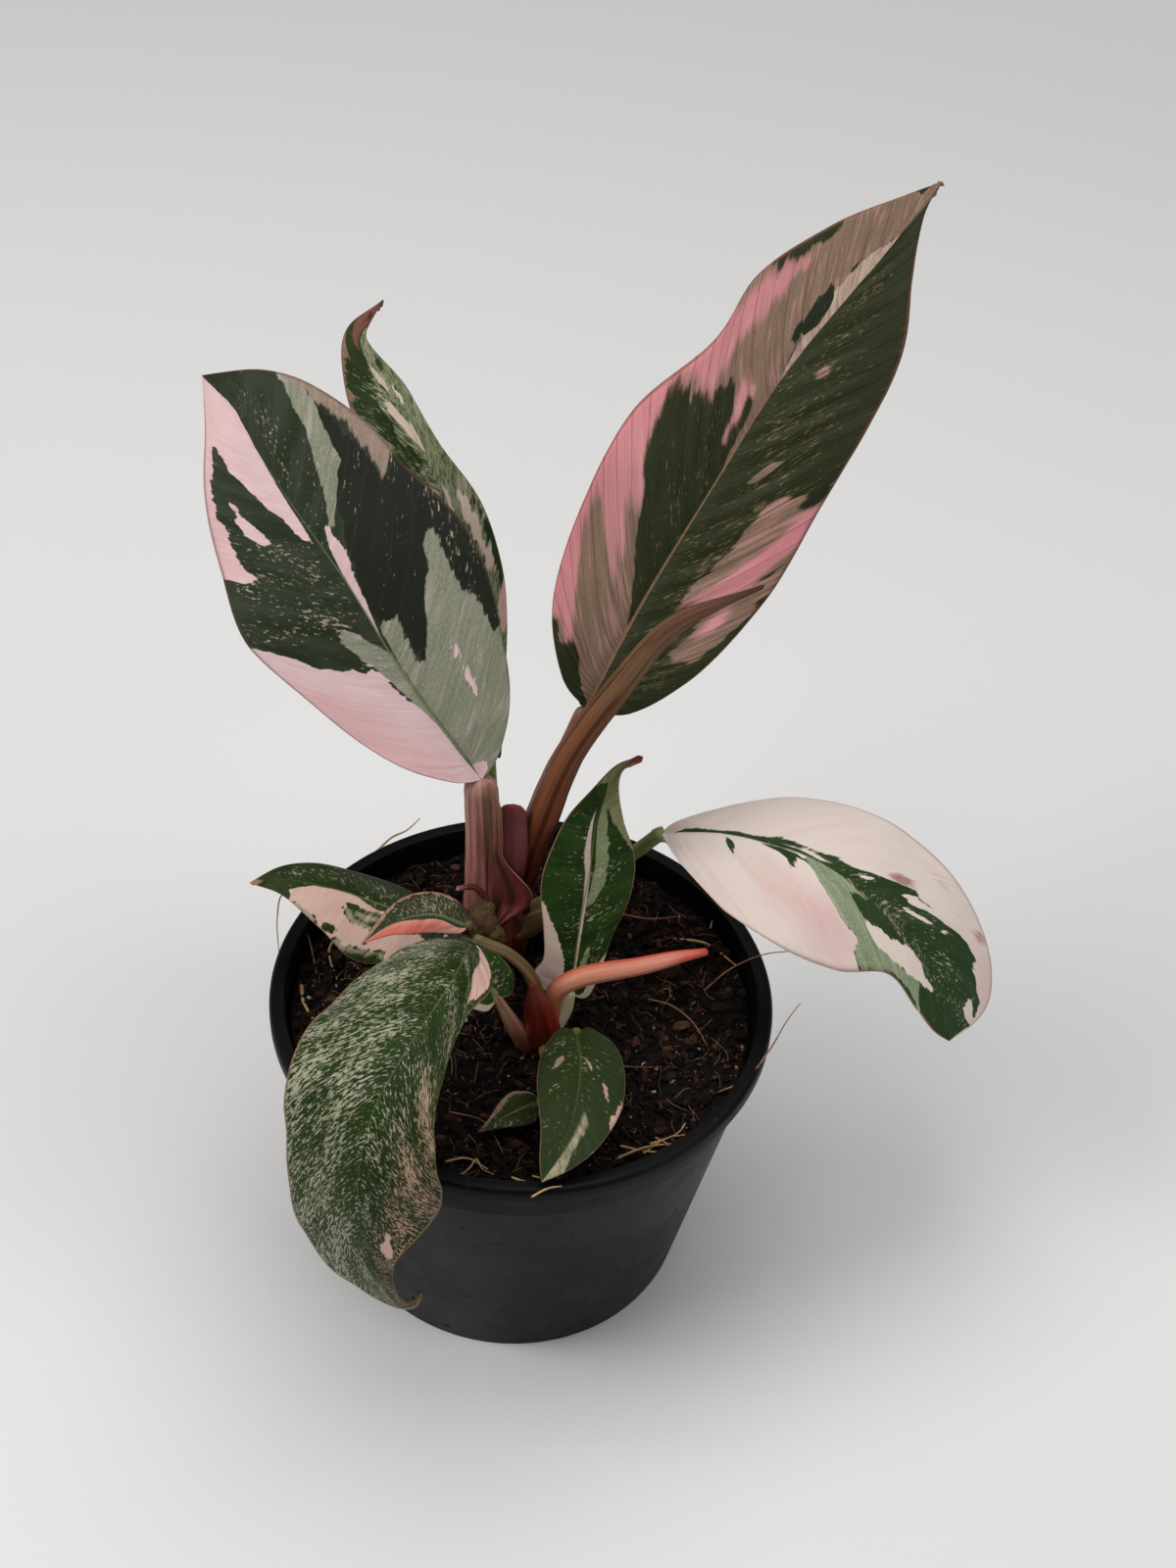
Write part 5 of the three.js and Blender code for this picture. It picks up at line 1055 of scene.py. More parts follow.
stalks = [
    {
        "piece": "rearStem", "node": "stem_rear", "slot": "stem_bark",
        "path": [(-6, 20, 52), (-6.5, 20, 66), (-7, 20, 76), (-7.5, 20, 84)],
        "radii": [3.6, 4.6, 5.2, 5, 3.6], "runs": (0, 0), "ridges": (9, 0.03),
        "paint": {**redSkin, "seed": 1.0, "along": [(0.0, tone(84, 62, 46)), (1.0, tone(120, 84, 60))]}},
    {
        "piece": "leftLeafStalk", "node": "leaf_left_petiole", "slot": "stalk_pink",
        "path": [(-9.5, 18, 80), (-10.6, 18, 97), (-11.4, 17, 117), (-12.2, 15.2, 135.8)],
        "radii": [6.2, 5.4, 4.5, 4.1, 3.9], "flat": 0.8, "grid": (80, 90), "ridges": (13, 0.022),
        "paint": {
            **pinkSkin, "seed": 3.0, "streakShow": 0.8,
            "strips": [
                {
                    "corner": 0.85, "width": 0.08, "colour": tone(150, 120, 98), "span": (0.3, 1.0),
                    "show": 0.7},
                {"corner": 0.93, "width": 0.03, "colour": tone(78, 72, 42), "span": (0.1, 0.9)},
                {
                    "corner": 0.78, "width": 0.012, "colour": tone(116, 76, 56), "span": (0.0, 1.0),
                    "show": 0.6},
                {
                    "corner": 0.64, "width": 0.02, "colour": tone(124, 88, 56), "span": (0.55, 0.92),
                    "show": 0.55},
                {
                    "corner": 0.7, "width": 0.018, "colour": tone(116, 70, 46), "span": (0.1, 0.5),
                    "show": 0.55}]}},
    {
        "piece": "rearSheathBase", "slot": "stalk_red",
        "path": [(-4.4, 13.6, 76), (-4.2, 13.2, 83), (-4.2, 13.2, 89), (-4.8, 13.4, 95)],
        "radii": [2.4, 3.8, 4.4, 3.8], "flat": 0.75, "runs": (0, 3), "ridges": (9, 0.03),
        "paint": {**redSkin, "seed": 41.0, "along": [
            (0.0, tone(52, 22, 18)), (0.5, tone(84, 36, 30)), (1.0, tone(112, 54, 46))]}},
    {
        "piece": "paleLeafSheath", "slot": "stalk_green",
        "path": [
            (-5, 11.4, 89), (-1.8, 12.6, 90.4), (1.5, 15.2, 91.2), (5.2, 19.6, 90.8), (10, 24.4, 92.6)],
        "radii": [2.2, 3.2, 3.3, 2.8, 2.2], "flat": 0.7, "runs": (2, 1), "grid": (60, 80),
        "paint": {
            "seed": 43.0, "streak": tone(84, 62, 34), "fine": tone(128, 112, 66), "spot": tone(70, 42, 26),
            "along": [
                (0.0, tone(96, 46, 36)), (0.2, tone(98, 76, 40)), (0.7, tone(104, 92, 50)),
                (1.0, tone(112, 116, 66))],
            "strips": [
                {"corner": 0.5, "width": 0.03, "colour": tone(178, 132, 112), "span": (0.1, 1.0)},
                {"corner": 0.9, "width": 0.06, "colour": tone(116, 58, 46), "show": 0.7}]}},
    {
        "piece": "tallLeafStalk", "node": "leaf_tall_petiole", "slot": "stalk_brown",
        "path": [(-3.6, 23, 80), (-2.6, 22.8, 100), (0.8, 22.4, 119), (6, 21.6, 138), (10.2, 19.6, 154.6)],
        "radii": [3.4, 2.9, 2.6, 2.4, 2.2], "paint": {**brownSkin, "seed": 5.0}},
    {
        "piece": "backLeafStalk", "node": "leaf_back_petiole", "slot": "stalk_green",
        "path": [(-9, 28, 80), (-10.5, 33, 100), (-11.9, 37.4, 124.6)], "radii": [3.4, 2.4, 1.6],
        "paint": {**greenSkin, "seed": 7.0, "fineShow": 0.2}},
    {
        "piece": "paleLeafStalk", "node": "leaf_pale_petiole", "slot": "stalk_green",
        "path": [(-4, 23.5, 80), (3.5, 26, 85), (14, 26, 95.4), (24.5, 25, 107.5), (30, 24.1, 115)],
        "radii": [3.6, 3.2, 2.2, 1.8, 1.7], "paint": {**greenSkin, "seed": 9.0, "fine": tone(196, 186, 150)}},
    {
        "piece": "tallSheath", "node": "sheath_tall", "slot": "stalk_brown",
        "path": [
            (-3.2, 18, 82), (-2.5, 18, 100), (1.3, 17.5, 119), (7.8, 15, 146), (18.2, 12, 170.5),
            (28.6, 8, 191), (44, 4, 204.5)], "radii": [3.6, 4.1, 4.1, 3.4, 3, 2.2, 0.5], "roll": 0.3,
        "seam": -0.14, "grid": (80, 170),
        "paint": {
            "seed": 11.0, "streak": tone(80, 42, 26), "fine": tone(140, 96, 66), "spot": tone(70, 28, 20),
            "along": [
                (0.0, tone(72, 24, 17)), (0.15, tone(92, 32, 21)), (0.28, tone(112, 50, 32)),
                (0.42, tone(112, 72, 44)), (0.75, tone(112, 84, 56)), (0.93, tone(92, 62, 46)),
                (1.0, tone(64, 36, 30))],
            "strips": [
                {
                    "corner": 0.67, "width": 0.03, "colour": tone(124, 62, 54), "span": (0.0, 0.6),
                    "show": 0.7},
                {"corner": 0.715, "width": 0.016, "colour": tone(46, 14, 10), "span": (0.0, 0.8)},
                # painted highlight: this orange-brown band stands in for the light catching the sheath on its
                # front-left side
                {
                    "corner": 0.79, "width": 0.035, "colour": tone(132, 70, 38), "span": (0.2, 0.62),
                    "show": 0.8},
                {"corner": 0.88, "width": 0.03, "colour": tone(74, 16, 10), "span": (0.0, 0.66)},
                {
                    "corner": 0.945, "width": 0.03, "colour": tone(112, 60, 50), "span": (0.2, 0.6),
                    "show": 0.7},
                {"corner": 0.995, "width": 0.022, "colour": tone(54, 15, 11), "span": (0.0, 0.8)},
                {"corner": 0.05, "width": 0.06, "colour": tone(64, 24, 16), "span": (0.0, 0.75)}]}},
    {
        "piece": "pinkSheath", "node": "sheath_pink", "slot": "stalk_pink",
        "path": [(-6.4, 12.2, 88), (-5.6, 12.2, 102), (-4.6, 12.5, 118), (-4.6, 13.4, 128.6)],
        "radii": [2.4, 3, 3.7, 3.9, 3.3], "flat": 0.42, "runs": (4, 2.6), "ridges": (9, 0.008),
        "paint": {
            **pinkSkin, "seed": 13.0, "streak": tone(98, 46, 46), "streakShow": 0.35,
            "fine": tone(136, 84, 82), "fineShow": 0.25,
            "along": [
                (0.0, tone(66, 26, 22)), (0.3, tone(96, 46, 44)), (0.85, tone(116, 62, 62)),
                (0.95, tone(112, 52, 54)), (1.0, tone(104, 38, 40))],
            "strips": [
                {"corner": 1.0, "width": 0.03, "colour": tone(110, 38, 38)},
                {"corner": 0.0, "width": 0.03, "colour": tone(110, 38, 38)},
                {"corner": 0.5, "width": 0.04, "colour": tone(150, 96, 88)}]}},
    {
        "piece": "sideLeafStalk", "node": "leaf_side_petiole", "slot": "stalk_green",
        "path": [(-12, 14, 80), (-15, 10.5, 87), (-18.6, 7.8, 94)], "radii": [2.4, 1.7, 1.3],
        "paint": {**greenSkin, "seed": 15.0}},
    {
        "piece": "youngLeafStalk", "node": "leaf_young_petiole", "slot": "stalk_green",
        "path": [(-11, 9, 84), (-12, 3, 98), (-12.4, -4, 108), (-12.6, -8.4, 113.2)],
        "radii": [2, 1.4, 1.2, 1.1],
        "paint": {
            **greenSkin, "seed": 17.0,
            "along": [(0.0, tone(84, 52, 36)), (0.6, tone(90, 76, 46)), (1.0, tone(98, 84, 52))],
            "streak": tone(78, 58, 36), "fine": tone(146, 118, 90)}},
    {
        "piece": "aerialRoot", "node": "aerial_root", "slot": "stem_bark",
        "path": [(-7.5, 13.5, 84), (-8, 11, 94), (-9.5, 9.6, 103), (-13, 8.6, 108.5), (-17, 8.4, 107.5)],
        "radii": [1.1, 1, 0.9, 0.66], "runs": (2, 0), "grid": (24, 70), "ridges": (5, 0.03),
        "paint": {
            "seed": 19.0, "streak": tone(64, 34, 28), "fine": tone(126, 76, 64), "rough": 0.6,
            "along": [
                (0.0, tone(72, 44, 34)), (0.5, tone(98, 50, 44)), (0.9, tone(92, 36, 34)),
                (0.96, tone(140, 84, 76)), (1.0, tone(190, 160, 144))]}},
    {
        "piece": "frontStem", "node": "stem_front", "slot": "stalk_red",
        "path": [(5, -9, 54), (5.4, -9, 66), (6, -9, 75), (6.4, -9, 82)], "radii": [3.2, 4.2, 4.8, 4.2],
        "runs": (0, 0), "ridges": (7, 0.03), "paint": {**redSkin, "seed": 21.0}},
    {
        "piece": "speckledLeafStalk", "node": "leaf_speckled_petiole", "slot": "stalk_green",
        "path": [(4.5, -8.6, 83), (2.5, -7.8, 96), (-3, -7.6, 103.6), (-10.6, -8.8, 108.8)],
        "radii": [2.4, 1.7, 1.35, 1.5], "grid": (40, 80),
        "paint": {
            "seed": 23.0, "streak": tone(72, 66, 34), "fine": tone(150, 132, 92), "spot": tone(52, 64, 30),
            "spotShow": 0.7,
            "along": [
                (0.0, tone(112, 36, 24)), (0.35, tone(118, 62, 36)), (0.55, tone(98, 84, 46)),
                (1.0, tone(128, 112, 78))],
            "strips": [
                {
                    "corner": 0.8, "width": 0.06, "colour": tone(158, 112, 84), "span": (0.1, 0.9),
                    "show": 0.6}]}},
    {
        "piece": "innerLeafStalk", "node": "leaf_inner_petiole", "slot": "stalk_green",
        "path": [(8.5, -5.5, 79), (10.5, -3, 81), (11.4, -1.4, 84)], "radii": [2.2, 1.8, 1.3],
        "paint": {
            **greenSkin, "seed": 25.0, "along": [(0.0, tone(150, 96, 82)), (1.0, tone(206, 196, 160))],
            "streak": tone(176, 160, 120)}},
    {
        "piece": "newLeafSpike", "node": "new_leaf_spike", "slot": "spike_salmon",
        "path": [
            (7.2, -7.4, 82), (8, -6.2, 90), (13, -5.4, 94.6), (28, -3.4, 98.4), (37, -1.6, 100.6),
            (42.4, 0, 101)], "radii": [2, 2.2, 2.3, 2.1, 1.7, 0.9], "roll": 0.24, "seam": 0.42,
        "runs": (4, 0.6), "grid": (56, 130), "ridges": (9, 0.01),
        "paint": {
            "seed": 27.0, "streak": tone(186, 108, 84), "streakShow": 0.5, "fine": tone(218, 158, 138),
            "rough": 0.36, "depth": 0.0001, "spotShow": 0.12,
            "along": [
                (0.0, tone(112, 42, 26)), (0.16, tone(150, 86, 50)), (0.32, tone(198, 130, 100)),
                (0.8, tone(208, 132, 112)), (0.92, tone(196, 100, 84)), (1.0, tone(158, 34, 30))],
            "strips": [
                {"corner": 0.99, "width": 0.015, "colour": tone(186, 66, 56), "span": (0.3, 1.0)},
                {
                    "corner": 0.3, "width": 0.12, "colour": tone(206, 66, 58), "span": (0.86, 1.0),
                    "show": 0.6}]}},
    {
        "piece": "redSheath", "node": "sheath_red", "slot": "stalk_red",
        "path": [(5.6, -10, 78), (5, -10.5, 84), (3.8, -10.6, 91), (2.4, -10, 97)],
        "radii": [5, 4.2, 3, 0.8], "flat": 0.8, "runs": (3, 0), "ridges": (7, 0.03), "grid": (52, 70),
        "paint": {
            **redSkin, "seed": 29.0, "fineShow": 0.5, "rough": 0.34, "depth": 0.0003,
            "strips": [
                {"corner": 0.82, "width": 0.02, "colour": tone(84, 26, 20), "span": (0.3, 1.0)},
                {
                    "corner": 0.62, "width": 0.03, "colour": tone(186, 112, 96), "span": (0.0, 0.5),
                    "show": 0.5}]}},
    {
        "piece": "lowLeafStalk", "node": "leaf_low_petiole", "slot": "stalk_green",
        "path": [(1.6, -11.6, 78.5), (-1.4, -12, 84.5), (-5, -10.4, 90.4)], "radii": [2.4, 1.9, 1.2],
        "paint": {
            **greenSkin, "seed": 31.0,
            "along": [(0.0, tone(124, 46, 34)), (0.5, tone(160, 106, 90)), (1.0, tone(166, 132, 102))],
            "streak": tone(112, 70, 48),
            "strips": [{"corner": 0.85, "width": 0.07, "colour": tone(104, 56, 40), "show": 0.6}]}},
    {
        "piece": "frontLeafStalk", "node": "leaf_front_petiole", "slot": "stalk_green",
        "path": [(9, -12.6, 79), (11.4, -14.6, 83.6), (13.4, -16.6, 88.4)], "radii": [2, 1.5, 1.2],
        "paint": {
            **greenSkin, "seed": 33.0,
            "along": [(0.0, tone(120, 46, 36)), (0.6, tone(104, 74, 46)), (1.0, tone(66, 80, 32))],
            "fineShow": 0.15}},
    {
        "piece": "groundLeafStalk", "node": "leaf_ground_petiole", "slot": "stalk_green",
        "path": [(6.5, -14, 78.6), (7.8, -23, 79), (6.3, -30.4, 80.1)], "radii": [1.6, 1.2, 0.9],
        "paint": {**greenSkin, "seed": 35.0}},]

for stalk in stalks:
    makeStalk(stalk)
print("stalks", len(stalks))


# The left leaf's sheath ends in a thin fold that laps over its neighbours, from a hinge on the stalk to a
# free rim

sheathFold = {
    "piece": "leftSheathFold", "slot": "stalk_pink", "grid": (60, 100), "thickness": 0.5, "bulge": 1.1,
    "rim": [
        (-9.4, 12.4, 137.6), (-8.2, 11, 135.6), (-7.0, 9.8, 133), (-6.7, 9.5, 128), (-6.4, 9.4, 123),
        (-6.3, 9.3, 118.8), (-4.9, 9.2, 115.6), (-2.5, 9.2, 112.4), (0.1, 9.3, 108.8), (1.1, 9.6, 105.6),
        (0.5, 10, 102.4), (-1.6, 10.3, 99.4), (-4.4, 10.6, 96.6), (-6.8, 11, 93.5)],
    "hinge": [
        (-10.4, 13.6, 137), (-9.8, 13.6, 124), (-9.8, 13.2, 114), (-9.6, 12.8, 104), (-9.2, 12.4, 92)],
    "paint": {
        "seed": 47.0, "streak": tone(112, 60, 50), "streakShow": 0.5, "fine": tone(176, 116, 106),
        "spot": tone(92, 46, 36), "depth": 0.0003,
        "along": [
            (0.0, tone(150, 78, 74)), (0.12, tone(168, 92, 88)), (0.25, tone(122, 56, 50)),
            (0.5, tone(88, 42, 34)), (0.75, tone(112, 72, 56)), (1.0, tone(140, 104, 84))],
        "strips": [
            {"corner": 0.16, "width": 0.14, "colour": tone(80, 64, 36), "span": (0.2, 0.9)},
            {"corner": 0.5, "width": 0.14, "colour": tone(62, 26, 18), "span": (0.22, 0.62)},
            {"corner": 0.8, "width": 0.1, "colour": tone(128, 54, 50), "span": (0.2, 0.7), "show": 0.7},
            {"corner": 0.25, "width": 0.2, "colour": tone(180, 102, 98), "span": (0.0, 0.16)},
            {"corner": 1.0, "width": 0.035, "colour": tone(196, 142, 128), "show": 0.9}]},}


def makeFold(fold):
    rim, hinge = Spline(fold["rim"]), Spline(fold["hinge"])
    columns, rows = fold["grid"]
    bm = bmesh.new()
    bmesh.ops.create_grid(bm, x_segments=columns, y_segments=rows, size=1)
    uvLayer = bm.loops.layers.uv.new("skin")
    spots = {vert: ((vert.co.x + 1) / 2, (vert.co.y + 1) / 2) for vert in bm.verts}
    for face in bm.faces:
        for loop in face.loops:
            loop[uvLayer].uv = spots[loop.vert]
    for vert, (across, up) in spots.items():
        spot = hinge.point(1 - up).lerp(rim.point(1 - up), across)
        ridge = 0.22 * math.sin(math.pi * 5 * across) * min(1.0, 8 * (1 - up))
        spot.y -= fold["bulge"] * math.sin(math.pi * across) ** 0.8 + ridge
        vert.co = spot * mm
    piece = makePiece(fold["piece"], bm, [stalkLook(fold, rim.length)], [])
    shell = piece.modifiers.new("shell", "SOLIDIFY")
    shell.thickness = fold["thickness"] * mm
    shell.offset = -1
    return piece


makeFold(sheathFold)


# The knob where the front plant's stalks meet, with old leaf scars

knob = {
    "lumps": [((-10.9, -4.4, 109.8), (4.6, 3.6, 4.1)), ((-7.6, -5.2, 108.0), (3.0, 2.4, 2.2)),
              ((-12.0, -6.8, 109.4), (2.2, 2.2, 2.8)), ((-9.6, -2.4, 112.6), (2.6, 2.0, 2.0))],
    "olive": tone(78, 64, 36), "brown": tone(66, 36, 24), "green": tone(60, 60, 32),
    "dry": tone(150, 120, 92),
    "rough": 0.16,
}


def knobLook():
    look = Look("scarredKnob", Specular_IOR_Level=0.2)
    place = look.place()
    cloud = look.noise(place, 330.0, 3.0, 0.6)
    grain = look.noise(place, 1500.0, 4.0, 0.7)
    colour = look.mix(cloud.ramp(0.35, 0.65), knob["olive"], knob["brown"])
    colour = look.mix(look.noise(place, 520.0, 2.0).ramp(0.55, 0.66) * 0.8, colour, knob["green"])
    colour = look.mix(grain.ramp(0.58, 0.7) * 0.6, colour, knob["dry"])
    return look.finish(colour, grain.ramp(0.3, 0.7, 0.6, 0.85), grain * 0.7 + cloud * 0.4, 0.0004)


def makeKnob():
    bm = bmesh.new()
    for (spot, size), seed in zip(knob["lumps"], (3, 8, 14, 21)):
        made = bmesh.ops.create_icosphere(bm, subdivisions=5, radius=1)["verts"]
        for vert in made:
            bump = 1 + knob["rough"] * (noise.noise(vert.co * 2.2 + Vector((seed, 0, 0)))
                                        + 0.5 * noise.noise(vert.co * 6 + Vector((0, seed, 0))))
            reach = Vector([part * scale for part, scale in zip(vert.co * bump, size)])
            vert.co = (Vector(spot) + reach) * mm
    return makePiece("stalkKnob", bm, [knobLook()], [])


makeKnob()
print("fold and knob")


# The pot: one profile turned round, with its drain holes cut through the floor

pot = {
    "height": 84, "rim": 60, "base": 43.5, "wall": 1.3, "lip": 4.5, "collar": 14, "body": 56,
    "floor": 3.3, "hub": 11, "ring": 39, "arch": 1.8,
    "holes": 8, "holeRadius": 3.6, "holeCircle": 26,
    "black": tone(9, 9, 10), "worn": tone(17, 17, 19), "dust": tone(62, 55, 48),
    "steps": 144,
}


def potProfile():
    collarFoot = pot["height"] - pot["collar"]
    lipFoot = pot["height"] - pot["lip"]
    collarRadius = pot["body"] + 1.4
    outer = [(0, 0), (pot["hub"], 0), (pot["hub"] + 1.5, pot["arch"]), (pot["ring"] - 1.5, pot["arch"]),
             (pot["ring"], 0), (pot["base"] - 0.8, 0), (pot["base"] - 0.2, 0.2), (pot["base"], 0.8),
             (pot["body"], collarFoot), (pot["body"] + 0.7, collarFoot + 0.7),
             (pot["body"] + 0.9, collarFoot + 1.4),
             (collarRadius, lipFoot - 0.2), (collarRadius + 0.3, lipFoot), (pot["rim"] - 0.7, lipFoot)]
    corners = [((pot["rim"] - 0.7, lipFoot + 0.7), 0.7, -90, 0),
               ((pot["rim"] - 1.4, pot["height"] - 1.4), 1.4, 0, 90)]
    for (centreR, centreZ), radius, start, end in corners:
        for step in range(7):
            turn = math.radians(start + (end - start) * step / 6)
            outer.append((centreR + radius * math.cos(turn), centreZ + radius * math.sin(turn)))
    inner = [(collarRadius + 0.4 - pot["wall"], pot["height"] - 0.3),
             (collarRadius - pot["wall"], pot["height"] - 1.2),
             (collarRadius - 0.2 - pot["wall"], lipFoot), (pot["body"] - pot["wall"], collarFoot),
             (pot["base"] - pot["wall"], pot["floor"]), (0, pot["floor"])]
    return outer + inner


def potLook():
    look = Look("blackPotPlastic", Specular_IOR_Level=0.09)
    place = look.place()
    fine = look.noise(place, 900.0, 3.0, 0.6)
    cloud = look.noise(place, 26.0, 4.0, 0.65)
    marks = look.noise(look.node("ShaderNodeMapping", {}, {0: place, "Scale": (60, 60, 620)}), 1.0, 3.0, 0.5)
    specks = look.noise(place, 420.0, 2.0, 0.5)
    colour = look.mix(cloud.ramp(0.4, 0.7) * 0.6, pot["black"], pot["worn"])
    colour = look.mix(specks.ramp(0.68, 0.74) * 0.35, colour, pot["dust"])
    colour = look.mix(marks.ramp(0.6, 0.72) * 0.2, colour, pot["worn"])
    rough = cloud.ramp(0.3, 0.7, 0.36, 0.54) + specks.ramp(0.68, 0.74) * 0.3
    return look.finish(colour, rough, fine * 0.6 + marks * 0.4, 0.00007)


def makePot():
    bm = bmesh.new()
    verts = [bm.verts.new((r * mm, 0, z * mm)) for r, z in potProfile()]
    edges = [bm.edges.new(pair) for pair in zip(verts, verts[1:])]
    bmesh.ops.spin(bm, geom=verts + edges, cent=(0, 0, 0), axis=(0, 0, 1), angle=2 * math.pi,
                   steps=pot["steps"],
                   use_merge=True)
    bmesh.ops.remove_doubles(bm, verts=bm.verts, dist=0.002 * mm)
    bmesh.ops.recalc_face_normals(bm, faces=bm.faces)
    piece = makePiece("nurseryPot", bm, [potLook()], ["pot"])
    drill = bmesh.new()
    for hole in range(pot["holes"]):
        turn = 2 * math.pi * hole / pot["holes"]
        spot = Vector((pot["holeCircle"] * math.cos(turn), pot["holeCircle"] * math.sin(turn),
                       pot["floor"] / 2)) * mm
        bmesh.ops.create_cone(drill, cap_ends=True, segments=40, radius1=pot["holeRadius"] * mm,
                              radius2=pot["holeRadius"] * mm, depth=3 * pot["floor"] * mm,
                              matrix=Matrix.Translation(spot))
    mesh = bpy.data.meshes.new("drill")
    drill.to_mesh(mesh)
    drill.free()
    cutter = bpy.data.objects.new("drill", mesh)
    bpy.context.scene.collection.objects.link(cutter)
    cut = piece.modifiers.new("holes", "BOOLEAN")
    cut.operation = "DIFFERENCE"
    cut.object = cutter
    cut.solver = "EXACT"
    bpy.context.view_layer.update()
    done = bpy.data.meshes.new_from_object(piece.evaluated_get(bpy.context.evaluated_depsgraph_get()))
    piece.modifiers.clear()
    piece.data = done
    done.set_sharp_from_angle(angle=math.radians(38))
    bpy.data.objects.remove(cutter)
    bpy.data.meshes.remove(mesh)
    return piece


makePot()
print("pot turned")


# The potting mix: a filled body with a rough top, and loose crumbs, bark, roots and straws on it

mix = {
    "top": 77, "radius": 55.1, "grid": 150, "foot": 3.65, "footRadius": 41.85, "collarRadius": 54.3,
    "crumbs": 3000, "dust": 5200, "bark": 46, "fibres": 420, "grit": 60,
    "darkest": tone(9, 6, 5), "dark": tone(17, 11, 8), "brown": tone(42, 25, 17), "light": tone(90, 60, 42),
    "straw": tone(196, 160, 112), "rootTone": tone(150, 108, 84), "perlite": tone(206, 196, 180),
}
stemSpots = [(-7, 20, 7.5), (6, -9, 6.0)]


def mixLevel(x, y):
    swell = math.sin(x * 0.11 + 0.6) * math.cos(y * 0.13 - 0.4)
    lumps = math.sin(x * 0.42 + y * 0.23) * math.sin(y * 0.37 - x * 0.19)
    return mix["top"] + 0.7 * swell + 0.6 * lumps


def mixLook(name, tinted):
    look = Look(name, Specular_IOR_Level=0.14)
    place = look.place()
    clod = look.noise(place, 330.0, 4.0, 0.65)
    grain = look.noise(place, 1500.0, 3.0, 0.6)
    spots = look.noise(place, 90.0, 2.0, 0.5)
    tint = look.attribute("tint") if tinted else clod.ramp(0.3, 0.75) * 0.5
    tint = tint + (grain - 0.5) * 0.35 + (spots - 0.5) * 0.3
    stops = [(0.0, mix["darkest"]), (0.3, mix["dark"]), (0.6, mix["brown"]), (0.85, mix["light"]),
             (1.0, mix["perlite"])]
    colour = look.stops(tint, stops)
    return look.finish(colour, grain.ramp(0.3, 0.7, 0.72, 0.95), clod * 0.6 + grain * 0.5, 0.0005)


# the angle on a disc of a point of the square that the disc is drawn from
def discTurn(x, y):
    if abs(x) >= abs(y):
        return math.pi / 4 * y / (x or 1.0) + (math.pi if x < 0 else 0.0)
    return math.pi / 2 - math.pi / 4 * x / y + (math.pi if y < 0 else 0.0)


def makeMixBody():
    bm = bmesh.new()
    bmesh.ops.create_grid(bm, x_segments=mix["grid"], y_segments=mix["grid"], size=1)
    for vert in bm.verts:
        x, y = vert.co.x, vert.co.y
        reach = max(abs(x), abs(y))
        turn = discTurn(x, y)
        radius = reach * mix["radius"]
        spot = Vector((radius * math.cos(turn), radius * math.sin(turn), 0))
        level = mixLevel(spot.x, spot.y)
        rough = 0.55 * noise.noise(spot * 0.55) + 0.4 * noise.noise(spot * 1.4)
        vert.co = Vector((spot.x, spot.y, level + rough * min(1.0, 12 * (1 - reach) + 0.2))) * mm
    rim = [edge for edge in bm.edges if edge.is_boundary]
    for height, radius in ((pot["height"] - pot["collar"], mix["collarRadius"]),
                           (mix["foot"], mix["footRadius"])):
        made = bmesh.ops.extrude_edge_only(bm, edges=rim)["geom"]
        rim = [item for item in made if isinstance(item, bmesh.types.BMEdge) and item.is_boundary]
        for vert in [item for item in made if isinstance(item, bmesh.types.BMVert)]:
            flat = Vector((vert.co.x, vert.co.y, 0)).normalized() * radius
            vert.co = Vector((flat.x, flat.y, height)) * mm
    bmesh.ops.edgeloop_fill(bm, edges=rim)
    bmesh.ops.recalc_face_normals(bm, faces=bm.faces)
    return makePiece("pottingMix", bm, [mixLook("peatMix", False)], ["potting_mix"])


def scatter(bm, template, count, draw, place):
    for _ in range(count):
        matrix, tint = place(draw)
        lump = template.copy()
        lump.transform(matrix)
        lump.attributes["tint"].data.foreach_set("value", [tint] * len(lump.vertices))
        bm.from_mesh(lump)
        bpy.data.meshes.remove(lump)


def lumpMesh(name, subdivisions, roughness, seed):
    bm = bmesh.new()
    bmesh.ops.create_icosphere(bm, subdivisions=subdivisions, radius=1)
    for vert in bm.verts:
        vert.co *= 1 + roughness * noise.noise(vert.co * 1.7 + Vector((seed, 0, 0)))
    bm.verts.layers.float.new("tint")
    mesh = bpy.data.meshes.new(name)
    bm.to_mesh(mesh)
    bm.free()
    return mesh


def spotOnMix(draw, margin):
    while True:
        radius = (mix["radius"] - margin) * math.sqrt(draw.random())
        turn = draw.uniform(0, 2 * math.pi)
        x, y = radius * math.cos(turn), radius * math.sin(turn)
        if all(math.hypot(x - sx, y - sy) > reach for sx, sy, reach in stemSpots):
            return x, y


def turnOf(draw):
    axis = Vector((draw.uniform(-1, 1), draw.uniform(-1, 1), draw.uniform(-1, 1) + 0.01)).normalized()
    return Matrix.Rotation(draw.uniform(0, 2 * math.pi), 4, axis)


def crumbPlace(small, large, tints, sink, stretch):
    def place(draw):
        x, y = spotOnMix(draw, 0.8)
        size = small + (large - small) * draw.random() ** 2.2
        scale = Matrix.Diagonal((size * draw.uniform(1, stretch), size * draw.uniform(0.7, 1.0),
                                 size * draw.uniform(0.5, 0.85), 1))
        at = Matrix.Translation(Vector((x, y, mixLevel(x, y) + size * sink + draw.uniform(-0.2, 0.5))) * mm)
        tint = tints[0] + (tints[1] - tints[0]) * draw.random() ** 1.8
        return at @ turnOf(draw) @ Matrix.Scale(mm, 4) @ scale, tint
    return place


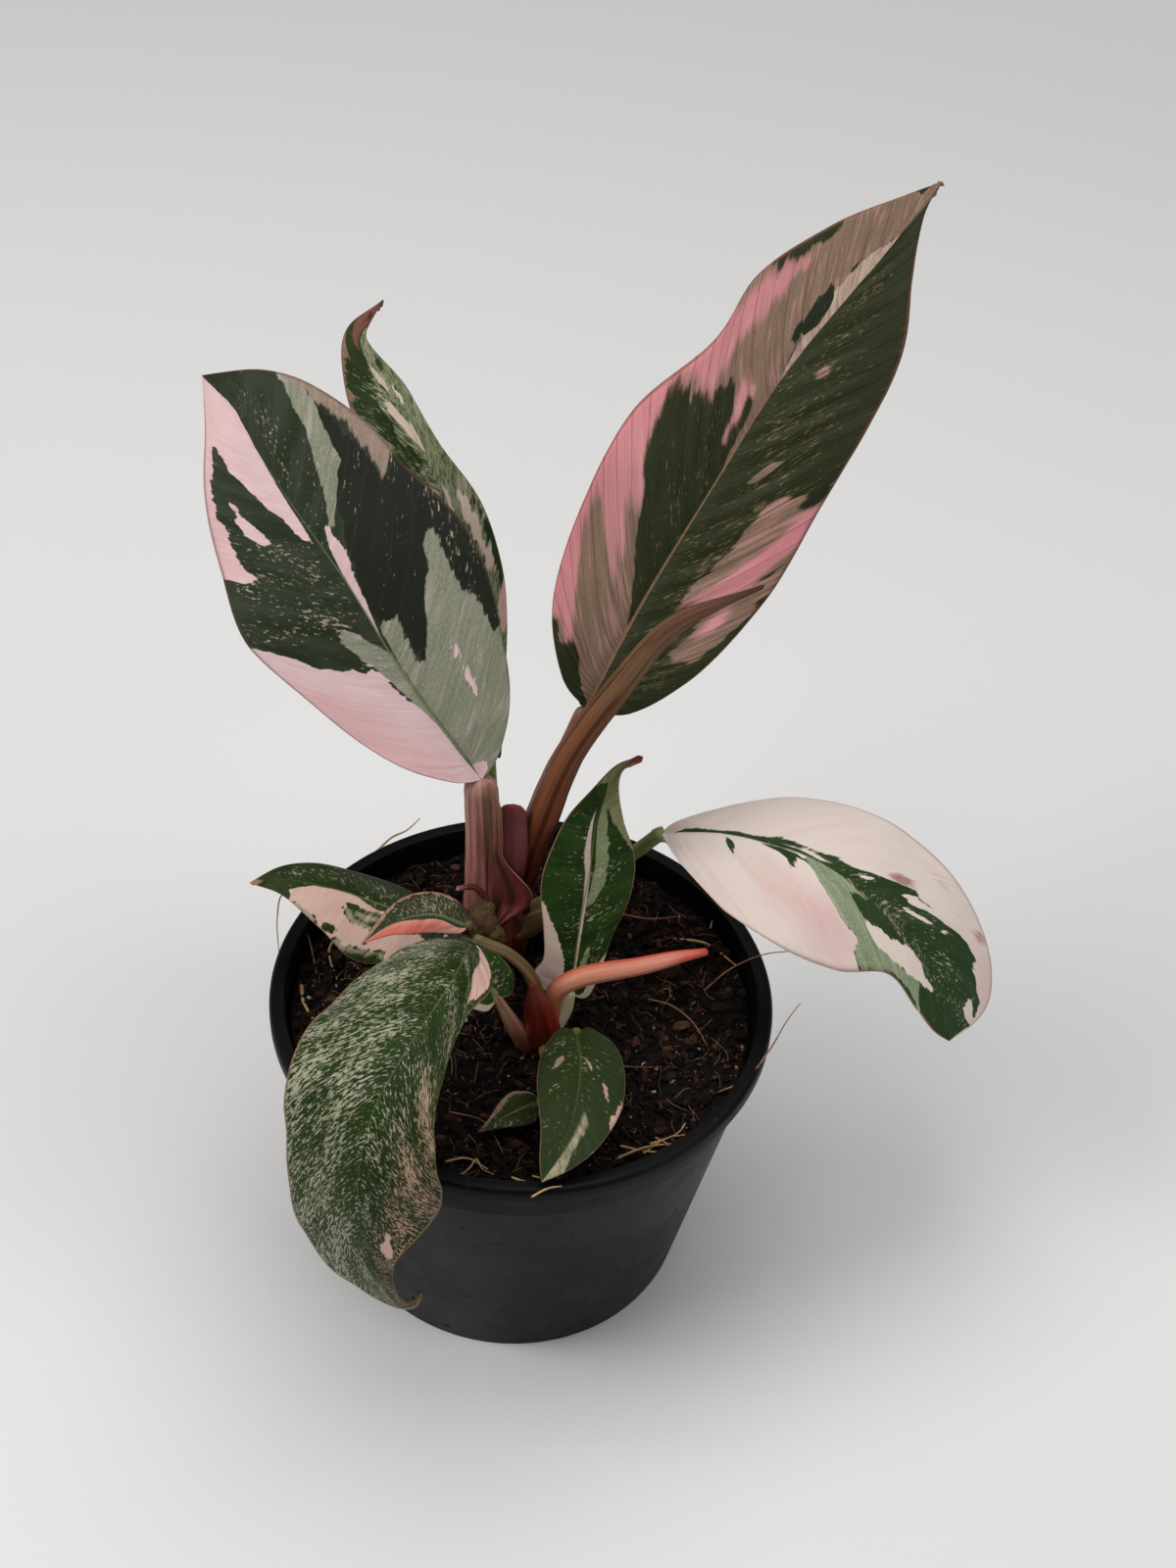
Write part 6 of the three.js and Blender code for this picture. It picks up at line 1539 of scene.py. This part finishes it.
def makeCrumbs():
    draw = random.Random(41)
    lumps = [lumpMesh("lump", 2, 0.5, seed) for seed in (0, 5, 9)]
    grains = lumpMesh("grain", 1, 0.4, 3)
    for name, parts in (
        ("mixCrumbs", [(lump, mix["crumbs"] // 3, crumbPlace(0.4, 1.5, (0.1, 0.75), 0.25, 1.6))
                       for lump in lumps[:2]]),
        ("mixDust", [(grains, mix["dust"], crumbPlace(0.22, 0.6, (0.05, 0.9), 0.5, 1.8))]),
        ("barkBits", [(lumps[2], mix["bark"], crumbPlace(1.2, 2.4, (0.35, 0.8), 0.3, 2.0)),
                      (lumps[1], mix["grit"], crumbPlace(0.35, 0.8, (0.75, 1.0), 0.8, 1.4))]),
    ):
        bm = bmesh.new()
        for template, count, place in parts:
            scatter(bm, template, count, draw, place)
        makePiece(name, bm, [mixLook(name + "Look", True)], [], smooth=False)
    for mesh in (*lumps, grains):
        bpy.data.meshes.remove(mesh)


fibreRuns = {
    "straws": [
        ([(1, -51, 77.6), (6, -53, 78.8), (12, -50.5, 77.8)], 0.34),
        ([(24, -44, 77.6), (31, -41.5, 79.6), (39, -38.5, 78.2)], 0.36),
        ([(25, -40, 77.6), (31, -42, 78.8), (38, -41, 77.8)], 0.3),
        ([(30.3, -42.7, 78.6), (35.6, -38.6, 79.6), (43.4, -35.9, 79.0)], 0.26),
        ([(31.8, -39.8, 78.6), (37.8, -37.3, 79.8), (40, -33, 78.8)], 0.26),
        ([(33, -37.5, 78.4), (36, -40.5, 79.6), (37, -44, 78.6)], 0.2),
        ([(-14, -48, 77.6), (-9, -47.5, 78.8), (-4, -49.5, 77.8)], 0.3),
        (
            [
                (-11, -52.8, 78), (-8, -50.3, 79.4), (-6.9, -48, 79.6), (-5.3, -50.6, 79.4),
                (-2.5, -51.2, 78.4)], 0.22),
        ([(5.8, -50.8, 78.4), (9.7, -52.3, 79.4), (13, -52, 78.6)], 0.24),
        ([(6, -61.2, 84.4), (9.8, -59, 85.2), (15.7, -55, 81.5), (19, -51, 78.4)], 0.24),
        ([(36, 26, 77.4), (44, 24, 78.8), (52, 18, 77.8)], 0.42),
        ([(-47, 20, 77.4), (-48, 12, 79), (-45, 4, 77.6)], 0.42),
        ([(-53.4, 2, 77.6), (-51.9, -4.6, 78.8), (-49, -9, 77.8)], 0.6),
        ([(45.2, 43, 77.6), (46.5, 36.9, 80), (45.3, 29.9, 77.8)], 0.5),
        ([(-41, 49, 78), (-37.4, 52, 80.5), (-33.4, 52.1, 83.5), (-30, 55, 85.6)], 0.34),],
    "roots": [
        ([(47, -23, 78), (53.5, -21.6, 82), (58.6, -15.8, 86), (62.9, -7.2, 87.5), (66, -3.5, 90)], 0.28),
        ([(44, 9, 78), (50, 13, 82), (58, 15.6, 85.2), (66, 16.8, 86)], 0.22),
        ([(-54, 26, 78), (-61, 24.5, 85.2), (-61.6, 18.9, 83), (-59.8, 9, 80)], 0.24),
        ([(-51, 27, 78), (-56, 19, 82.5), (-53.3, 14.4, 81), (-50, 4.9, 78)], 0.26),
        ([(30, 5, 78), (36, 2, 79.4), (41, -2, 78.8), (45, -9, 78)], 0.24),
        ([(17, -14, 78), (24, -18, 79.6), (33, -17, 78.6)], 0.22),
        ([(-14, -34, 78), (-6, -37, 79), (-1, -45, 78.2)], 0.22),
        ([(22, 33, 78), (30, 30, 80), (37, 33, 78.4)], 0.3),],}


def fibreLook(name, one, other):
    look = Look(name, Specular_IOR_Level=0.35)
    corner, along = look.uv("skin")
    place = look.place()
    cloud = look.noise(place, 160.0, 2.0)
    grain = look.noise(place, 1300.0, 2.0)
    colour = look.mix(cloud.ramp(0.35, 0.65), one, other)
    colour = look.mix(grain.ramp(0.5, 0.75) * 0.4, colour, mix["dark"])
    return look.finish(colour, grain.ramp(0.3, 0.7, 0.55, 0.75) + along * 0.05, grain, 0.0001)


def makeFibres():
    draw = random.Random(17)
    tones = {"straws": (mix["straw"], tone(160, 122, 84)), "roots": (mix["rootTone"], tone(112, 74, 54))}
    for kind, pair in tones.items():
        bm = bmesh.new()
        for path, radius in fibreRuns[kind]:
            rollTube(bm, Spline(path), lambda share, radius=radius: radius * (1 - 0.55 * share), (8, 30))
        bmesh.ops.remove_doubles(bm, verts=bm.verts, dist=0.003 * mm)
        bmesh.ops.recalc_face_normals(bm, faces=bm.faces)
        makePiece("loose" + kind.capitalize(), bm, [fibreLook(kind + "Look", *pair)], [])
    bm = bmesh.new()
    for _ in range(mix["fibres"]):
        x, y = spotOnMix(draw, 3)
        turn, length = draw.uniform(0, 2 * math.pi), 2.5 + 8 * draw.random() ** 2
        path = []
        for step in range(4):
            turn += draw.uniform(-0.6, 0.6)
            x, y = x + math.cos(turn) * length / 3, y + math.sin(turn) * length / 3
            away = math.hypot(x, y)
            if away > mix["radius"] - 1:
                x, y = x * (mix["radius"] - 1) / away, y * (mix["radius"] - 1) / away
            path.append((x, y, mixLevel(x, y) + draw.uniform(0.3, 1.7)))
        radius = draw.uniform(0.07, 0.17)
        rollTube(bm, Spline(path), lambda share, radius=radius: radius * (1 - 0.5 * share), (4, 7))
    bmesh.ops.remove_doubles(bm, verts=bm.verts, dist=0.002 * mm)
    bmesh.ops.recalc_face_normals(bm, faces=bm.faces)
    look = fibreLook("coirLook", tone(132, 92, 66), tone(84, 54, 38))
    makePiece("coirFibres", bm, [look], [])


makeMixBody()
makeCrumbs()
makeFibres()
print("potting mix filled")


# Floor, light and camera

studio = {
    "floorSize": 8.0, "fade": (0.5, 1.5), "floor": (0.80, 0.795, 0.785, 1.0), "black": (0.0, 0.0, 0.0, 1.0),
    "wall": tone(206, 206, 206), "ceiling": tone(54, 56, 60), "wallTop": 0.3, "worldPower": 1.0,
    "lights": [
        {
            "name": "keyLight", "at": (-1.0, -0.35, 1.15), "size": 0.8, "power": 12.5,
            "tone": (1.0, 0.98, 0.96)},
        {
            "name": "fillLight", "at": (1.15, -0.5, 1.0), "size": 0.9, "power": 5.0,
            "tone": (0.96, 0.98, 1.0)},
        {"name": "topLight", "at": (0.1, 0.25, 1.6), "size": 1.7, "power": 16.0, "tone": (1.0, 1.0, 1.0)},],
    "aim": (0.0, 0.0, 0.12),}


def makeStage():
    bm = bmesh.new()
    bmesh.ops.create_grid(bm, x_segments=2, y_segments=2, size=studio["floorSize"] / 2)
    look = Look("paleFloor", Specular_IOR_Level=0.2, Emission_Strength=1.0)
    place = look.place()
    cloud = look.noise(place, 3.0, 2.0)
    far = look.node("ShaderNodeVectorMath", {"operation": "LENGTH"}, {0: place}, 1).ramp(*studio["fade"])
    shade = tuple(0.97 * value for value in studio["floor"][:3]) + (1.0,)
    lit = look.mix(cloud, studio["floor"], shade)
    look.feed(look.shader.inputs["Emission Color"], look.mix(far, studio["black"], studio["wall"]))
    material = look.finish(look.mix(far, lit, studio["black"]), cloud.ramp(0.0, 1.0, 0.6, 0.7))
    mesh = bpy.data.meshes.new("studioFloor")
    bm.to_mesh(mesh)
    bm.free()
    mesh.materials.append(material)
    floor = bpy.data.objects.new("studioFloor", mesh)
    bpy.context.scene.collection.objects.link(floor)
    world = bpy.data.worlds.new("studioAir")
    world.use_nodes = True
    nodes, links = world.node_tree.nodes, world.node_tree.links
    split = nodes.new("ShaderNodeSeparateXYZ")
    links.new(nodes.new("ShaderNodeTexCoord").outputs["Generated"], split.inputs[0])
    shade = nodes.new("ShaderNodeValToRGB")
    shade.color_ramp.elements[0].color = studio["wall"]
    shade.color_ramp.elements[1].position = studio["wallTop"]
    shade.color_ramp.elements[1].color = studio["ceiling"]
    links.new(split.outputs["Z"], shade.inputs[0])
    links.new(shade.outputs[0], nodes["Background"].inputs[0])
    nodes["Background"].inputs[1].default_value = studio["worldPower"]
    bpy.context.scene.world = world
    for light in studio["lights"]:
        data = bpy.data.lights.new(light["name"], "AREA")
        data.shape = "DISK"
        data.size = light["size"]
        data.energy = light["power"]
        data.color = light["tone"]
        lamp = bpy.data.objects.new(light["name"], data)
        lamp.location = light["at"]
        aim = Vector(studio["aim"]) - Vector(light["at"])
        lamp.rotation_euler = aim.to_track_quat("-Z", "Y").to_euler()
        bpy.context.scene.collection.objects.link(lamp)


view = {"at": (12.2, -351.0, 470.7), "down": 42.3, "roll": 4.0, "lens": 50.0, "film": 36.0}


def makeCamera():
    data = bpy.data.cameras.new("studioCamera")
    data.lens = view["lens"]
    data.sensor_width = view["film"]
    data.clip_start = 0.01
    camera = bpy.data.objects.new("studioCamera", data)
    tilt = Matrix.Rotation(math.radians(90 - view["down"]), 4, "X")
    roll = Matrix.Rotation(math.radians(view["roll"]), 4, "Z")
    camera.matrix_world = Matrix.Translation(Vector(view["at"]) * mm) @ tilt @ roll
    bpy.context.scene.collection.objects.link(camera)
    bpy.context.scene.camera = camera


makeStage()
makeCamera()
bpy.context.scene.view_settings.view_transform = "Standard"
print("stage set")
